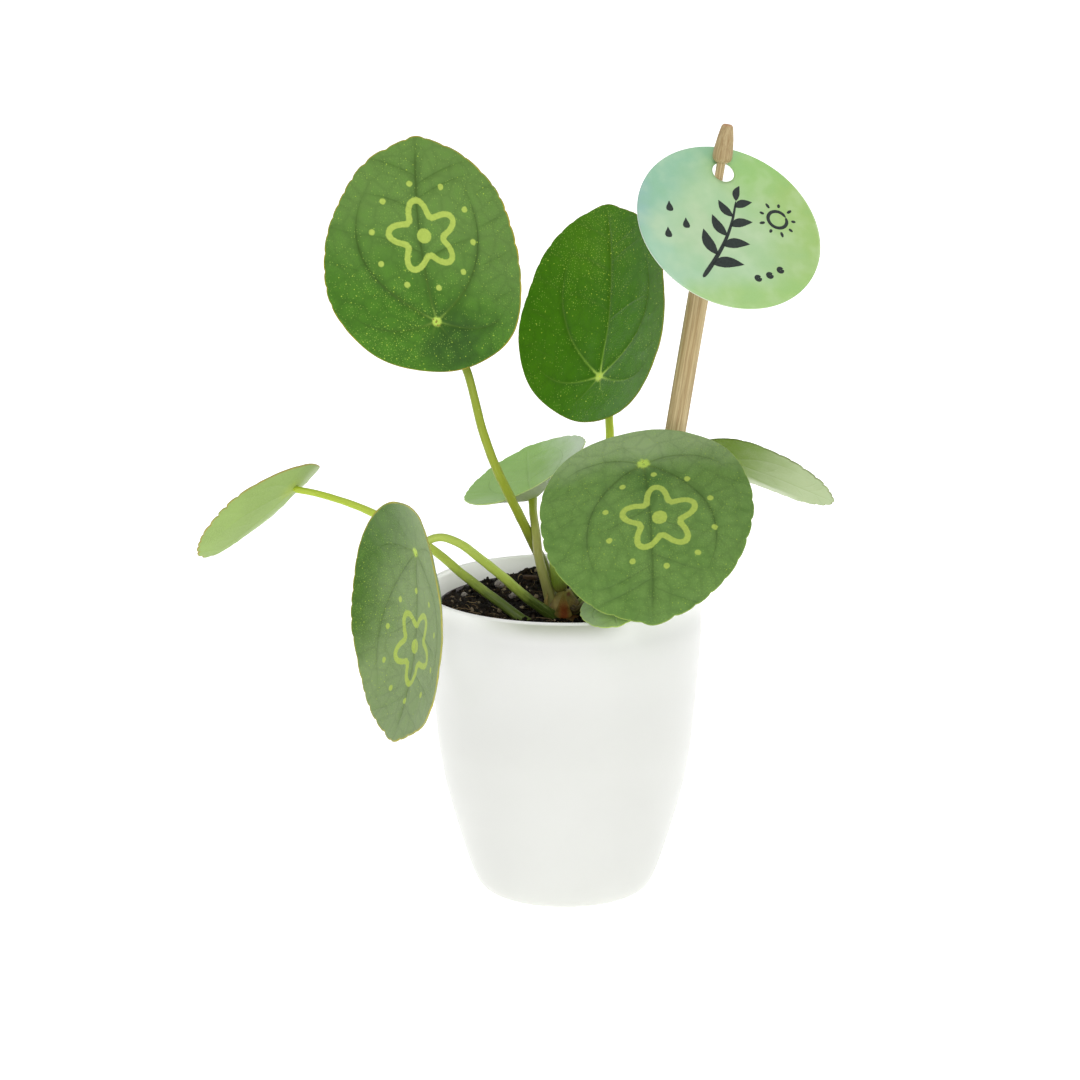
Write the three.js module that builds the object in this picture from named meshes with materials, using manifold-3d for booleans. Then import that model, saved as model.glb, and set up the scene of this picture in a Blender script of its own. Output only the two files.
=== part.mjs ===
// A young potted pilea: round leaves on long stalks, growing from a short trunk in a grower's pot
// that stands loose in a white cover pot, with a round care card hung on a wooden stick.
// Millimetres, +Z up. The origin is the middle of the cover pot's flat bottom, and -Y is the front.
import * as THREE from 'three';
import { mergeVertices } from 'three/addons/utils/BufferGeometryUtils.js';
import Module from 'manifold-3d';

const wasm = await Module();
wasm.setup();

// ---- driving dimensions ----
const gap = 0.3;                 // clearance where two pieces touch

const coverPot = {
  height: 79.5,
  rimRadius: 36,
  footRadius: 19.6,
  wall: 1.5,
  lipWall: 0.9,
  floor: 2.2,
  segments: 44,
};

const nurseryPot = {
  topRadius: 32.6,
  bandRadius: 33.2,
  bandHeight: 6,
  footRadius: 19,
  top: 75,                       // height of its rim above the table
  wall: 0.8,
  holeRadius: 2.4,
  holeRing: 11.5,
  holes: 6,                      // around one more in the middle
  holeSides: 10,
  segments: 36,
};

const soil = {
  middleHeight: 72,
  edgeRise: 1.3,                 // how much it climbs to the edge of the pot
  slope: 0.02,                   // and from the front right to the back left
  humps: [                       // middle, height and spread of each heap
    [-8, 27, 2.6, 8],
    [-32, 3, 1.6, 8],
  ],
  rings: 5,
  segments: 36,
};

const trunk = {
  radius: 4,
  top: 78.6,
  foot: 44,
  sides: 14,
};

const blade = {
  thickness: 0.8,
  stalkPoint: 0.22,              // where the stalk joins, as a share of the length from the base
  oval: 0.045,                   // how much longer than wide
  egg: 0.027,                    // how much broader at the base than at the tip
  around: 26,
  across: 8,
};

const stalk = {
  sides: 8,
  step: 6,                       // length of one stretch along the stalk
  footLength: 1.8,               // how far it runs straight out of the trunk
  neckLength: 3,                 // and straight into its blade
};

// One row for each leaf. "at" is where its stalk joins the blade. The upper side faces azimuth degrees
// to the right of the front and elevation degrees up, and turn swings the tip clockwise from upright.
// Cup and lift are the degrees that the blade bends upwards, across and along its whole length.
const leaves = {
  top_left: {
    at: [-32.3, -4, 149], azimuth: -18, elevation: -3, turn: -5.5, length: 59, cup: 58, lift: 0,
  },
  top_middle: {
    at: [8.7, 18, 130.7], azimuth: -47, elevation: 25, turn: -11, length: 56.5, cup: 57, lift: 27,
  },
  front_right: {
    at: [19.5, -12, 114.5], azimuth: -15, elevation: 59, turn: 167, length: 59, cup: -24, lift: -40,
  },
  left_hanging: {
    at: [-38, -14.3, 92], azimuth: -62, elevation: -7, turn: 172, length: 61, cup: 64, lift: 45,
  },
  far_left: {
    at: [-69.6, 12, 103], azimuth: -121, elevation: 42, turn: 167, length: 40.5, cup: 52, lift: 16,
  },
  middle_back: {
    at: [-9.3, 14, 102], azimuth: -106, elevation: 64, turn: -102, length: 41, cup: 48, lift: 35,
  },
  right_back: {
    at: [41.8, 14, 110], azimuth: 142, elevation: 55, turn: -124, length: 38, cup: 11, lift: -4,
  },
  front_small: {
    at: [12.3, -27, 84.1], azimuth: -51, elevation: 70, turn: 130, length: 20, cup: 5, lift: -5,
  },
};

// One row for each stalk. It leaves the trunk at an angle seen from above (0 is right, 90 is back)
// and a height, follows the way points, and ends under its blade. Radii are at the trunk and the blade.
const stalks = {
  top_left: {
    angle: 120, height: 74.3, radii: [1.5, 1.15],
    way: [[-4.8, 7, 82.1], [-7.9, 7, 88.7], [-11.6, 5, 96.9], [-17.3, 1.5, 109.7], [-21, 1, 120.3],
      [-24.9, 3, 135.1], [-28.8, 3.2, 143]],
  },
  top_middle: {
    angle: 75, height: 74.5, radii: [1.3, 1],
    way: [[5.2, 9.5, 84.2], [8.4, 14, 93.6], [10.7, 18, 103.3], [11.7, 21, 113.3], [11.3, 21.7, 122]],
  },
  front_right: {
    angle: -14, height: 74.2, radii: [1.4, 1.1],
    way: [[8.5, -1, 83], [14, 0, 95], [18.2, -3.5, 107]],
  },
  left_hanging: {
    angle: 230, height: 73.6, radii: [1.4, 0.95],
    way: [[-9.7, -6.5, 78.4], [-15.8, -8, 84.6], [-21.5, -9.5, 90.2], [-26.5, -11, 94.3], [-31, -12.2, 96]],
  },
  far_left: {
    angle: 205, height: 69, radii: [1.5, 0.75],
    way: [[-9.9, -5.3, 72.1], [-17.9, -3.5, 77.1], [-25.8, 0, 82.4], [-33.8, 4, 88.2], [-49, 9, 96.5],
      [-62, 11, 100.9]],
  },
  middle_back: {
    angle: 164, height: 74.2, radii: [1.1, 0.85],
    way: [[-5.4, 0.2, 80.4], [-6.6, 1.5, 87], [-7.2, 4.5, 93.4], [-7.9, 8.5, 98]],
  },
  right_back: {
    angle: 30, height: 74.4, radii: [1.2, 0.8],
    way: [[11, 5.5, 84], [22, 9.5, 96], [34, 12, 104]],
  },
  front_small: {
    angle: -58, height: 74.2, radii: [0.95, 0.7],
    way: [[5.5, -12, 78], [9.5, -21, 80.5]],
  },
};

const stick = {
  neck: [38.6, 5, 185.3],        // the point of its axis where the card hangs
  lean: 9,                       // degrees to the right
  rodRadius: 2.65,
  pointRadius: 0.8,
  pointLength: 8,
  headRadius: 2.5,
  headBevel: 1.3,                // how much slimmer the head ends at its top
  neckRadius: 1.1,
  neckUp: 2.6,                   // these four are measured along the stick from that point
  neckDown: 3,
  headTop: 12.3,
  rodEnd: 154,
  sides: 14,
};

const card = {
  radius: 24.2,
  thickness: 0.4,
  holeRadius: 2.9,
  holeOffset: 16.6,              // from the middle of the card to the middle of its hole
  slack: 0.9,                    // how far the hole hangs to the right of the neck's axis
  azimuth: 24.5,
  elevation: 42.5,
  turn: 13,
};

// the dry scales on the trunk: angle as for the stalks, and the height of the lower end
const scales = [
  { angle: 265, height: 73.4, length: 6.5 },
  { angle: 198, height: 73.8, length: 6 },
];
const scaleSlimness = 0.45;      // a scale is this much slimmer than a leaf of its length
const scaleSheet = { cup: 75, lift: 0, thickness: 0.35, around: 10, across: 4 };
const scaleLean = 8;             // degrees that a scale stands away from the trunk
const scaleSeat = 0.75;

const bud = {
  radius: 1.1,
  length: 5.2,
  lean: -16,                     // degrees to the right
  seat: 0.5,                     // above the top of the trunk
  sides: 10,
};

// loose pieces on the soil: place, size and turn
const perlite = [
  { at: [-17, 18.5], size: 1.5, turn: 20 },
  { at: [-13.6, 11.5], size: 1.1, turn: 75 },
  { at: [-18, 6.5], size: 0.9, turn: 130 },
  { at: [-26, 9], size: 0.8, turn: 10 },
  { at: [12, 21], size: 1.3, turn: 50 },
  { at: [24, -14], size: 1.2, turn: 160 },
  { at: [-8, -21], size: 1, turn: 95 },
];

const bark = [
  { at: [-22, 15], size: [4.2, 1.8, 1.2], turn: 35 },
  { at: [-9, 22], size: [3.6, 2, 1.1], turn: -20 },
  { at: [17, 15.5], size: [4.4, 2.2, 1.3], turn: 70 },
  { at: [-20, -17], size: [4, 2, 1.2], turn: 120 },
];

// ---- colours ----
const finish = {
  pot: { color: 0xeeefea, roughness: 0.38 },
  nursery: { color: 0x2a2728, roughness: 0.6 },
  soil: { color: 0x2b2119, roughness: 0.95 },
  trunk: { color: 0x6d4a2e, roughness: 0.8 },
  scale: { color: 0x8c4a2a, roughness: 0.8 },
  stalk: { color: 0x9bb54a, roughness: 0.5 },
  leaf: { color: 0x4f8430, roughness: 0.45 },
  wood: { color: 0xc9ad7f, roughness: 0.7 },
  card: { color: 0xb4dda0, roughness: 0.6 },
  perlite: { color: 0xcfcac0, roughness: 0.9 },
  bark: { color: 0x4a3424, roughness: 0.9 },
};

const rad = THREE.MathUtils.degToRad;
const plant = new THREE.Group();

function addPiece(name, geometry, look) {
  const mesh = new THREE.Mesh(geometry, new THREE.MeshStandardMaterial({ metalness: 0, ...look }));
  mesh.name = name;
  plant.add(mesh);
  return mesh;
}

// keeps only positions, with shared corners joined
function joined(geometry) {
  geometry.deleteAttribute('normal');
  geometry.deleteAttribute('uv');
  return mergeVertices(geometry, 1e-4);
}

function toSolid(geometry) {
  const merged = joined(geometry.clone());
  return new wasm.Manifold(new wasm.Mesh({
    numProp: 3,
    vertProperties: new Float32Array(merged.attributes.position.array),
    triVerts: new Uint32Array(merged.index.array),
  }));
}

function toGeometry(solid) {
  const mesh = solid.getMesh();
  const geometry = new THREE.BufferGeometry();
  geometry.setAttribute('position', new THREE.BufferAttribute(mesh.vertProperties, 3));
  geometry.setIndex(new THREE.BufferAttribute(mesh.triVerts, 1));
  return geometry;
}

function cutAway(geometry, cutters) {
  const left = cutters.reduce((solid, cutter) => solid.subtract(toSolid(cutter)), toSolid(geometry));
  return toGeometry(left);
}

// turns a profile of [radius, height] around the Z axis
function turned(profile, segments) {
  const points = profile.map(([radius, height]) => new THREE.Vector2(radius, height));
  return joined(new THREE.LatheGeometry(points, segments).rotateX(Math.PI / 2));
}

function moveVertices(geometry, move) {
  const position = geometry.attributes.position;
  const point = new THREE.Vector3();
  for (let i = 0; i < position.count; i += 1) {
    point.fromBufferAttribute(position, i);
    move(point);
    position.setXYZ(i, point.x, point.y, point.z);
  }
  return geometry;
}

// X across, Y towards the tip and Z out of the upper side of a blade or card
function facing({ azimuth, elevation, turn }) {
  const a = rad(azimuth);
  const e = rad(elevation);
  const out = new THREE.Vector3(Math.sin(a) * Math.cos(e), -Math.cos(a) * Math.cos(e), Math.sin(e));
  const upright = new THREE.Vector3(0, 0, 1).addScaledVector(out, -out.z).normalize();
  const tip = upright.applyAxisAngle(out, -rad(turn));
  const side = new THREE.Vector3().crossVectors(tip, out);
  return new THREE.Matrix4().makeBasis(side, tip, out);
}

// ---- pots ----
function coverPotGeometry() {
  const { height, rimRadius, footRadius, wall, lipWall, floor, segments } = coverPot;
  const outside = [
    [footRadius, 0], [footRadius + 1.9, 0.9], [footRadius + 3.6, 3.2], [footRadius + 5.4, 8],
    [footRadius + 7.6, 15], [footRadius + 9.6, 22], [footRadius + 11.3, 29], [footRadius + 13, 39],
    [footRadius + 14.2, 52], [rimRadius - 0.9, 66], [rimRadius - 0.8, 73], [rimRadius - 0.5, 76.5],
    [rimRadius, height - 0.4], [rimRadius - 0.3, height],
  ];
  const inside = [
    [rimRadius - lipWall, height], [rimRadius - lipWall - 0.7, 76], [rimRadius - 0.9 - wall, 66],
    [footRadius + 14.2 - wall, 52], [footRadius + 11.3 - wall, 29], [footRadius + 7.6 - wall, 15],
    [footRadius + 3.6 - wall, 5], [footRadius + 0.6, floor],
  ];
  return turned([[0, 0], ...outside, ...inside, [0, floor]], segments);
}

// the outer radius of the grower's pot below its band
function nurseryRadius(height) {
  const foot = coverPot.floor + gap;
  const shoulder = nurseryPot.top - nurseryPot.bandHeight;
  const share = (height - foot) / (shoulder - foot);
  return THREE.MathUtils.lerp(nurseryPot.footRadius, nurseryPot.topRadius - 1, share);
}

function nurseryPotGeometry() {
  const { topRadius, bandRadius, bandHeight, top, wall, footRadius } = nurseryPot;
  const { holeRadius, holeRing, holes, holeSides } = nurseryPot;
  const foot = coverPot.floor + gap;
  const shoulder = top - bandHeight;
  const shell = turned([
    [0, foot + 1], [footRadius - 3, foot + 1], [footRadius - 2.4, foot], [footRadius, foot],
    [topRadius - 1, shoulder], [bandRadius - 0.4, shoulder], [bandRadius, shoulder + 1], [bandRadius, top],
    [bandRadius - wall, top], [bandRadius - wall, shoulder + 1], [topRadius - 1 - wall, shoulder],
    [footRadius + 0.4 - wall, foot + 2], [0, foot + 2],
  ], nurseryPot.segments);
  const drains = [];
  for (let i = 0; i <= holes; i += 1) {
    const ring = i < holes ? holeRing : 0;
    const angle = (i / holes) * Math.PI * 2;
    const drain = new THREE.CylinderGeometry(holeRadius, holeRadius, 4 * wall + 2, holeSides);
    drain.rotateX(Math.PI / 2);
    drains.push(drain.translate(ring * Math.cos(angle), ring * Math.sin(angle), foot));
  }
  return cutAway(shell, drains);
}

// ---- soil ----
function soilHeight(x, y) {
  const rise = soil.edgeRise * (Math.hypot(x, y) / nurseryPot.topRadius) ** 2 + soil.slope * (y - x);
  const heaped = soil.humps.reduce((sum, [middleX, middleY, height, spread]) => {
    const distance = Math.hypot(x - middleX, y - middleY);
    return sum + height * Math.exp(-0.5 * (distance / spread) ** 2);
  }, 0);
  return soil.middleHeight + rise + heaped;
}

function soilGeometry(pockets) {
  const { rings, segments } = soil;
  const { top, bandHeight, wall, topRadius, bandRadius } = nurseryPot;
  const base = coverPot.floor + gap + 2 + gap;
  const shoulder = top - bandHeight;
  const edge = bandRadius - wall - gap;
  const profile = [
    [0, base], [nurseryRadius(base) - wall - gap - 0.4, base], [topRadius - 1 - wall - gap, shoulder],
    [edge, shoulder + 1 + gap],
  ];
  for (let i = rings; i >= 0; i -= 1) {
    profile.push([(edge * i) / rings, top]);
  }
  const body = moveVertices(turned(profile, segments), (point) => {
    if (point.z > top - 0.01) {
      point.z = soilHeight(point.x, point.y);
    }
  });
  return cutAway(body, pockets);
}

// ---- trunk and scales ----
const trunkProfile = [
  [2.2, trunk.foot], [3.2, trunk.foot + 8], [3.4, 66], [trunk.radius, 71], [trunk.radius, 74.6],
  [trunk.radius - 1.2, 76.6], [1.3, trunk.top],
];

function trunkGeometry(extra = 0) {
  const grown = trunkProfile.map(([radius, height], i) => [radius + extra, i ? height : height - extra]);
  return turned([[0, trunk.foot - extra], ...grown, [0, trunk.top + extra]], trunk.sides);
}

function trunkRadiusAt(height) {
  const above = trunkProfile.findIndex(([, level]) => level >= height);
  const [lowRadius, low] = trunkProfile[above - 1];
  const [highRadius, high] = trunkProfile[above];
  return THREE.MathUtils.lerp(lowRadius, highRadius, (height - low) / (high - low));
}

function onTrunk(angle, height, away) {
  const reach = trunkRadiusAt(height) + away;
  return new THREE.Vector3(reach * Math.cos(rad(angle)), reach * Math.sin(rad(angle)), height);
}

function scaleGeometry({ angle, height, length }) {
  const shape = bladeGeometry({ length, ...scaleSheet }, scaleSheet).scale(scaleSlimness, 1, 1);
  const place = facing({ azimuth: angle - 90, elevation: scaleLean, turn: 0 });
  return shape.applyMatrix4(place).translate(...onTrunk(angle, height, scaleSeat).toArray());
}

// the closed tip of the shoot, pointed like a drop
function budGeometry() {
  const { radius, length, lean, seat, sides } = bud;
  const drop = turned([
    [0, 0], [radius * 0.6, 0], [radius, length * 0.25], [radius * 0.85, length * 0.5],
    [radius * 0.45, length * 0.8], [0, length],
  ], sides);
  return drop.rotateY(rad(lean)).translate(0, 0, trunk.top + seat);
}

// ---- leaves and stalks ----
// A flattened ball: its equator is drawn out to the outline of the leaf around the stalk point, and the
// sheet is then bent as an arc across (cup) and an arc along (lift).
function bladeGeometry({ length, cup, lift }, { thickness, around, across } = blade) {
  const half = length / (2 * (1 + blade.oval));
  const middle = half * (1 + blade.oval - blade.egg) - blade.stalkPoint * length;
  const bendAcross = rad(cup) / length;
  const bendAlong = rad(lift) / length;
  const arc = (bend, way) => (Math.abs(bend) < 1e-6
    ? [way, 0, 0]
    : [Math.sin(bend * way) / bend, (1 - Math.cos(bend * way)) / bend, bend * way]);
  const ball = new THREE.SphereGeometry(1, around, across).rotateX(Math.PI / 2);
  return joined(moveVertices(ball, (point) => {
    const reach = Math.hypot(point.x, point.y);
    const turn = Math.atan2(point.x, point.y);
    const outline = half * (1 + blade.oval * Math.cos(2 * turn) + blade.egg * Math.cos(3 * turn));
    const side = reach * outline * Math.sin(turn);
    const ahead = reach * (middle + outline * Math.cos(turn));
    const skin = (thickness / 2) * Math.sign(point.z) * Math.sqrt(Math.abs(point.z));
    const [x, riseAcross, tiltAcross] = arc(bendAcross, side);
    const [y, riseAlong, tiltAlong] = arc(bendAlong, ahead);
    point.set(
      x - skin * Math.sin(tiltAcross),
      y - skin * Math.sin(tiltAlong),
      riseAcross + riseAlong + skin,
    );
  }));
}

function leafGeometry(leaf) {
  return bladeGeometry(leaf).applyMatrix4(facing(leaf)).translate(...leaf.at);
}

// the line that a stalk follows, from the side of the trunk to the underside of its blade
function stalkLine({ angle, height, way }, leaf, inset) {
  const under = new THREE.Vector3().setFromMatrixColumn(facing(leaf), 2).negate();
  const end = (away) => new THREE.Vector3(...leaf.at).addScaledVector(under, away);
  const start = blade.thickness / 2 + gap;
  return new THREE.CatmullRomCurve3([
    onTrunk(angle, height, 1.5 * gap - inset), onTrunk(angle, height + 0.2, stalk.footLength),
    ...way.map((point) => new THREE.Vector3(...point)),
    end(start + stalk.neckLength), end(start),
  ], false, 'centripetal');
}

// a tapered cylinder bent along the line, or with extra its pocket, which runs on into the trunk's
function stalkGeometry(route, leaf, extra = 0) {
  const line = stalkLine(route, leaf, 2 * extra);
  const steps = Math.round(line.getLength() / stalk.step);
  const frames = line.computeFrenetFrames(steps);
  const [thick, thin] = route.radii;
  const rod = new THREE.CylinderGeometry(thin + extra, thick + extra, 1, stalk.sides, steps);
  return joined(moveVertices(rod, (point) => {
    const step = Math.round((point.y + 0.5) * steps);
    const { x, z } = point;
    point.copy(line.getPointAt(step / steps));
    point.addScaledVector(frames.normals[step], z).addScaledVector(frames.binormals[step], x);
  }));
}

// ---- stick and card ----
function stickGeometry(extra = 0) {
  const { neck, lean, rodRadius, rodEnd, pointRadius, pointLength, sides } = stick;
  const { headRadius, headBevel, headTop, neckRadius, neckUp, neckDown } = stick;
  const rod = [
    [0, -rodEnd - extra], [pointRadius + extra, -rodEnd - extra],
    [rodRadius + extra, pointLength - rodEnd], [rodRadius + extra, -neckDown - 0.6],
    [rodRadius - 0.4, -neckDown], [neckRadius, -neckDown],
  ];
  const head = [
    [neckRadius, neckUp], [neckRadius + 0.5, neckUp], [headRadius, neckUp + 1], [headRadius, neckUp + 3],
    [headRadius - 0.3 * headBevel, headTop - 3], [headRadius - 0.7 * headBevel, headTop - 0.8],
    [headRadius - headBevel, headTop], [0, headTop],
  ];
  return turned([...rod, ...head], sides).rotateY(rad(lean)).translate(...neck);
}

function cardGeometry() {
  const { radius, thickness, holeRadius, holeOffset, slack } = card;
  const outline = new THREE.Shape().absarc(0, -holeOffset, radius, 0, Math.PI * 2, false);
  outline.holes.push(new THREE.Path().absarc(0, 0, holeRadius, 0, Math.PI * 2, true));
  const depth = { depth: thickness, bevelEnabled: false, curveSegments: 18 };
  const disc = new THREE.ExtrudeGeometry(outline, depth);
  disc.translate(0, 0, -thickness / 2);
  const [x, y, z] = stick.neck;
  return joined(disc).applyMatrix4(facing(card)).translate(x + slack, y, z);
}

// ---- loose pieces on the soil ----
function perliteGeometry({ at: [x, y], size, turn }) {
  const lump = new THREE.IcosahedronGeometry(size, 0).scale(1, 0.8, 0.7).rotateZ(rad(turn));
  return joined(lump.translate(x, y, soilHeight(x, y) + size * 0.7 + gap));
}

function barkGeometry({ at: [x, y], size: [length, width, height], turn }) {
  const chip = new THREE.BoxGeometry(length, width, height).rotateZ(rad(turn));
  return joined(chip.translate(x, y, soilHeight(x, y) + height / 2 + 2 * gap));
}

// ---- the plant ----
addPiece('cover_pot', coverPotGeometry(), finish.pot);
addPiece('nursery_pot', nurseryPotGeometry(), finish.nursery);
addPiece('potting_soil', soilGeometry([
  trunkGeometry(gap),
  stickGeometry(gap),
  stalkGeometry(stalks.far_left, leaves.far_left, 2 * gap),
]), finish.soil);
addPiece('main_stem', trunkGeometry(), finish.trunk);

for (const [name, leaf] of Object.entries(leaves)) {
  addPiece(`leaf_${name}`, leafGeometry(leaf), finish.leaf);
  addPiece(`petiole_${name}`, stalkGeometry(stalks[name], leaf), finish.stalk);
}
scales.forEach((scale, i) => addPiece(`stipule_${i + 1}`, scaleGeometry(scale), finish.scale));
addPiece('shoot_bud', budGeometry(), finish.stalk);

addPiece('tag_stick', stickGeometry(), finish.wood);
addPiece('care_tag', cardGeometry(), finish.card);

perlite.forEach((grain, i) => addPiece(`perlite_${i + 1}`, perliteGeometry(grain), finish.perlite));
bark.forEach((chip, i) => addPiece(`bark_chip_${i + 1}`, barkGeometry(chip), finish.bark));

export default plant;
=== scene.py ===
# The looks of a young potted pilea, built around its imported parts. The dictionaries hold millimetres and
# degrees, and a colour is what a screen shows, from 0 to 255.
import math
from itertools import combinations

import bpy
import numpy as np
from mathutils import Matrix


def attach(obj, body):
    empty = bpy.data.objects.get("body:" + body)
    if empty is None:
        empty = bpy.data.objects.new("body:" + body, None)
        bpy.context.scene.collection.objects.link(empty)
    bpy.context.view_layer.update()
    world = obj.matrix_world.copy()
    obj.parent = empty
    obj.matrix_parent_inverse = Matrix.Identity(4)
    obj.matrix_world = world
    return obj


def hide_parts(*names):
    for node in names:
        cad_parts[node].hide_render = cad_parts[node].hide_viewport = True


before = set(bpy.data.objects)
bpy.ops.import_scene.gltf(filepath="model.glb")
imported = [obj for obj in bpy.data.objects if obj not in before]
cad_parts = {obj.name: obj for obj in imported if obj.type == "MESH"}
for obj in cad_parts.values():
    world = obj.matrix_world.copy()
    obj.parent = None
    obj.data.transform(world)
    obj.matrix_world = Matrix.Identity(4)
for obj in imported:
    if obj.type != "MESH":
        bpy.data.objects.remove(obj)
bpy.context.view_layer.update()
print("frame loaded with", len(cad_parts), "nodes")

mm = 0.001

# camera and light; the pitch is counted up from straight down
camera = {"place": (-6.375, -966.2, 327.27), "pitch": 76.3, "lens": 130, "sensor": 36, "clip": (0.05, 60)}
lamps = {  # place and size in metres, power in watts
    "front": ((0.12, -1.85, 0.95), 0.8, 12),
    "top": ((0.15, 0.2, 2.0), 1.0, 7),
    "left": ((-1.4, 1.0, 0.8), 0.9, 7),
    "right": ((1.4, 1.0, 0.8), 0.9, 7),
}
aimHeight = 0.1  # metres above the floor where the lamps point


def newObject(name, data):
    made = bpy.data.objects.new(name, data)
    bpy.context.scene.collection.objects.link(made)
    return made


def makeCamera():
    made = newObject("camera", bpy.data.cameras.new("camera"))
    made.data.lens, made.data.sensor_width = camera["lens"], camera["sensor"]
    made.data.clip_start, made.data.clip_end = camera["clip"]
    made.location = [value * mm for value in camera["place"]]
    made.rotation_euler = (math.radians(camera["pitch"]), 0, 0)
    bpy.context.scene.camera = made


def makeLamp(name, place, size, power):
    lamp = bpy.data.lights.new(name, "AREA")
    lamp.shape, lamp.size, lamp.energy = "DISK", size, power
    made = newObject(name, lamp)
    made.location = place
    toPot = -made.location
    toPot.z += aimHeight
    made.rotation_euler = toPot.to_track_quat("-Z", "Y").to_euler()


makeCamera()
for name, values in lamps.items():
    makeLamp(name, *values)
bpy.context.scene.view_settings.view_transform = "Standard"
print("camera and lamps placed")


# numbers and shader sockets share one formula
class Wire:
    # a socket of a shader tree that is used in formulas like a number; a place or a colour is one too
    def __init__(self, tree, socket):
        self.tree, self.socket = tree, socket

    def math(self, operation, *others, clamp=False):
        sockets = dict(enumerate((self, *others)))
        return wired(self.tree, "Math", 0, sockets, operation=operation, use_clamp=clamp)

    __add__ = __radd__ = lambda self, other: self.math("ADD", other)
    __mul__ = __rmul__ = lambda self, other: self.math("MULTIPLY", other)
    __sub__ = lambda self, other: self.math("SUBTRACT", other)
    __rsub__ = lambda self, other: self * -1.0 + other
    __truediv__ = lambda self, other: self.math("DIVIDE", other)
    __pow__ = lambda self, other: self.math("POWER", other)
    __abs__ = lambda self: self.math("ABSOLUTE")
    __neg__ = lambda self: self * -1.0


def addNode(tree, kind, sockets={}, **settings):
    # a shader node with its settings, and what each of its sockets holds or is wired to
    made = tree.nodes.new("ShaderNode" + kind)
    for key, value in settings.items():
        setattr(made, key, value)
    for key, value in sockets.items():
        if isinstance(value, Wire):
            tree.links.new(value.socket, made.inputs[key])
        else:
            made.inputs[key].default_value = value
    return made


def wired(tree, kind, output, sockets={}, **settings):
    return Wire(tree, addNode(tree, kind, sockets, **settings).outputs[output])


def onBoth(operation, onArrays):
    # the same function for a wire and for an array
    def apply(first, *others):
        return first.math(operation, *others) if isinstance(first, Wire) else onArrays(first, *others)

    return apply


squareRoot, larger = onBoth("SQRT", np.sqrt), onBoth("MAXIMUM", np.maximum)
angleOf, exponent = onBoth("ARCTAN2", np.arctan2), onBoth("EXPONENT", np.exp)
cosine, sine = onBoth("COSINE", np.cos), onBoth("SINE", np.sin)


def clamped(value):
    return value.math("ADD", 0.0, clamp=True) if isinstance(value, Wire) else np.clip(value, 0, 1)


def soft(value, start, end):
    # 0 up to the start, 1 from the end, and a smooth s between them; it falls where the end is the lower one
    share = clamped((value - start) / (end - start))
    return share * share * (3.0 - share * 2.0)


def distance(x, y):
    return squareRoot(x * x + y * y)


# meshes from grids
def pointsAt(x, y, z=0.0):
    return np.stack(np.broadcast_arrays(x, y, z), -1)


def turns(count):
    return np.linspace(0, 2 * np.pi, count, endpoint=False)


def turned(first, second, angle):
    # two coordinates turned by the angle, in radians
    return first * np.cos(angle) - second * np.sin(angle), first * np.sin(angle) + second * np.cos(angle)


def unit(vectors):
    return vectors / np.linalg.norm(vectors, axis=-1, keepdims=True)


def valueNoise(points, size, seed):
    # smooth noise from -1 to 1: random values on a lattice of that size, blended with cubic steps
    table = np.random.RandomState(seed).uniform(-1, 1, (32, 32, 32))
    place = np.asarray(points) / size + 1000.0
    cell = np.floor(place).astype(int)
    share = place - cell
    share = share * share * (3 - 2 * share)
    total = 0
    for corner in np.ndindex(2, 2, 2):
        weight = np.prod(np.where(corner, share, 1 - share), axis=-1)
        at = (cell + corner) % 32
        total = total + weight * table[at[..., 0], at[..., 1], at[..., 2]]
    return total


def meshObject(name, vertices, faces, material, attributes, smooth=True):
    # a face that names a corner twice has it once, so a quad at a pole is a triangle
    mesh = bpy.data.meshes.new(name)
    mesh.from_pydata((vertices * mm).tolist(), [], [list(dict.fromkeys(face)) for face in faces.tolist()])
    mesh.validate()
    mesh.polygons.foreach_set("use_smooth", [smooth] * len(mesh.polygons))
    for key, values in attributes.items():
        values = np.asarray(values, np.float32).reshape(len(vertices), -1)
        kind, field = ("FLOAT_VECTOR", "vector") if values.shape[1] == 3 else ("FLOAT", "value")
        mesh.attributes.new(key, kind, "POINT").data.foreach_set(field, values.ravel())
    mesh.materials.append(material)
    return newObject(name, mesh)


def facingOut(vertices, faces):
    # turns every face over if the closed mesh is inside out, told by the sign of its volume
    first, *others = (vertices[corner] for corner in faces.T)
    volume = sum(np.sum(first * np.cross(*pair)) for pair in zip(others, others[1:]))
    return faces if volume >= 0 else faces[:, ::-1]


def quadsBetween(lower, upper):
    # the faces between each row of numbered points and the next, closed around
    return np.stack([lower, np.roll(lower, -1, 1), np.roll(upper, -1, 1), upper], -1).reshape(-1, 4)


def gridObject(name, grid, material, attributes={}, ring=False):
    # grid[row, column] is a point; columns close around, and the rows end in poles or close on themselves
    rows, columns = grid.shape[:2]
    index = np.arange(rows * columns).reshape(rows, columns)
    if ring:
        index = np.vstack([index, index[:1]])
    else:
        index[0], index[-1] = index[0, 0], index[-1, 0]
    used, numbers = np.unique(index, return_inverse=True)
    index = numbers.reshape(index.shape)
    vertices = grid.reshape(-1, 3)[used]
    faces = facingOut(vertices, quadsBetween(index[:-1], index[1:]))
    layers = {}
    for key, values in attributes.items():
        full = np.broadcast_to(values, (rows, columns, *np.shape(values)[2:]))
        layers[key] = full.reshape(rows * columns, -1)[used]
    return meshObject(name, vertices, faces, material, layers)


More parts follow.
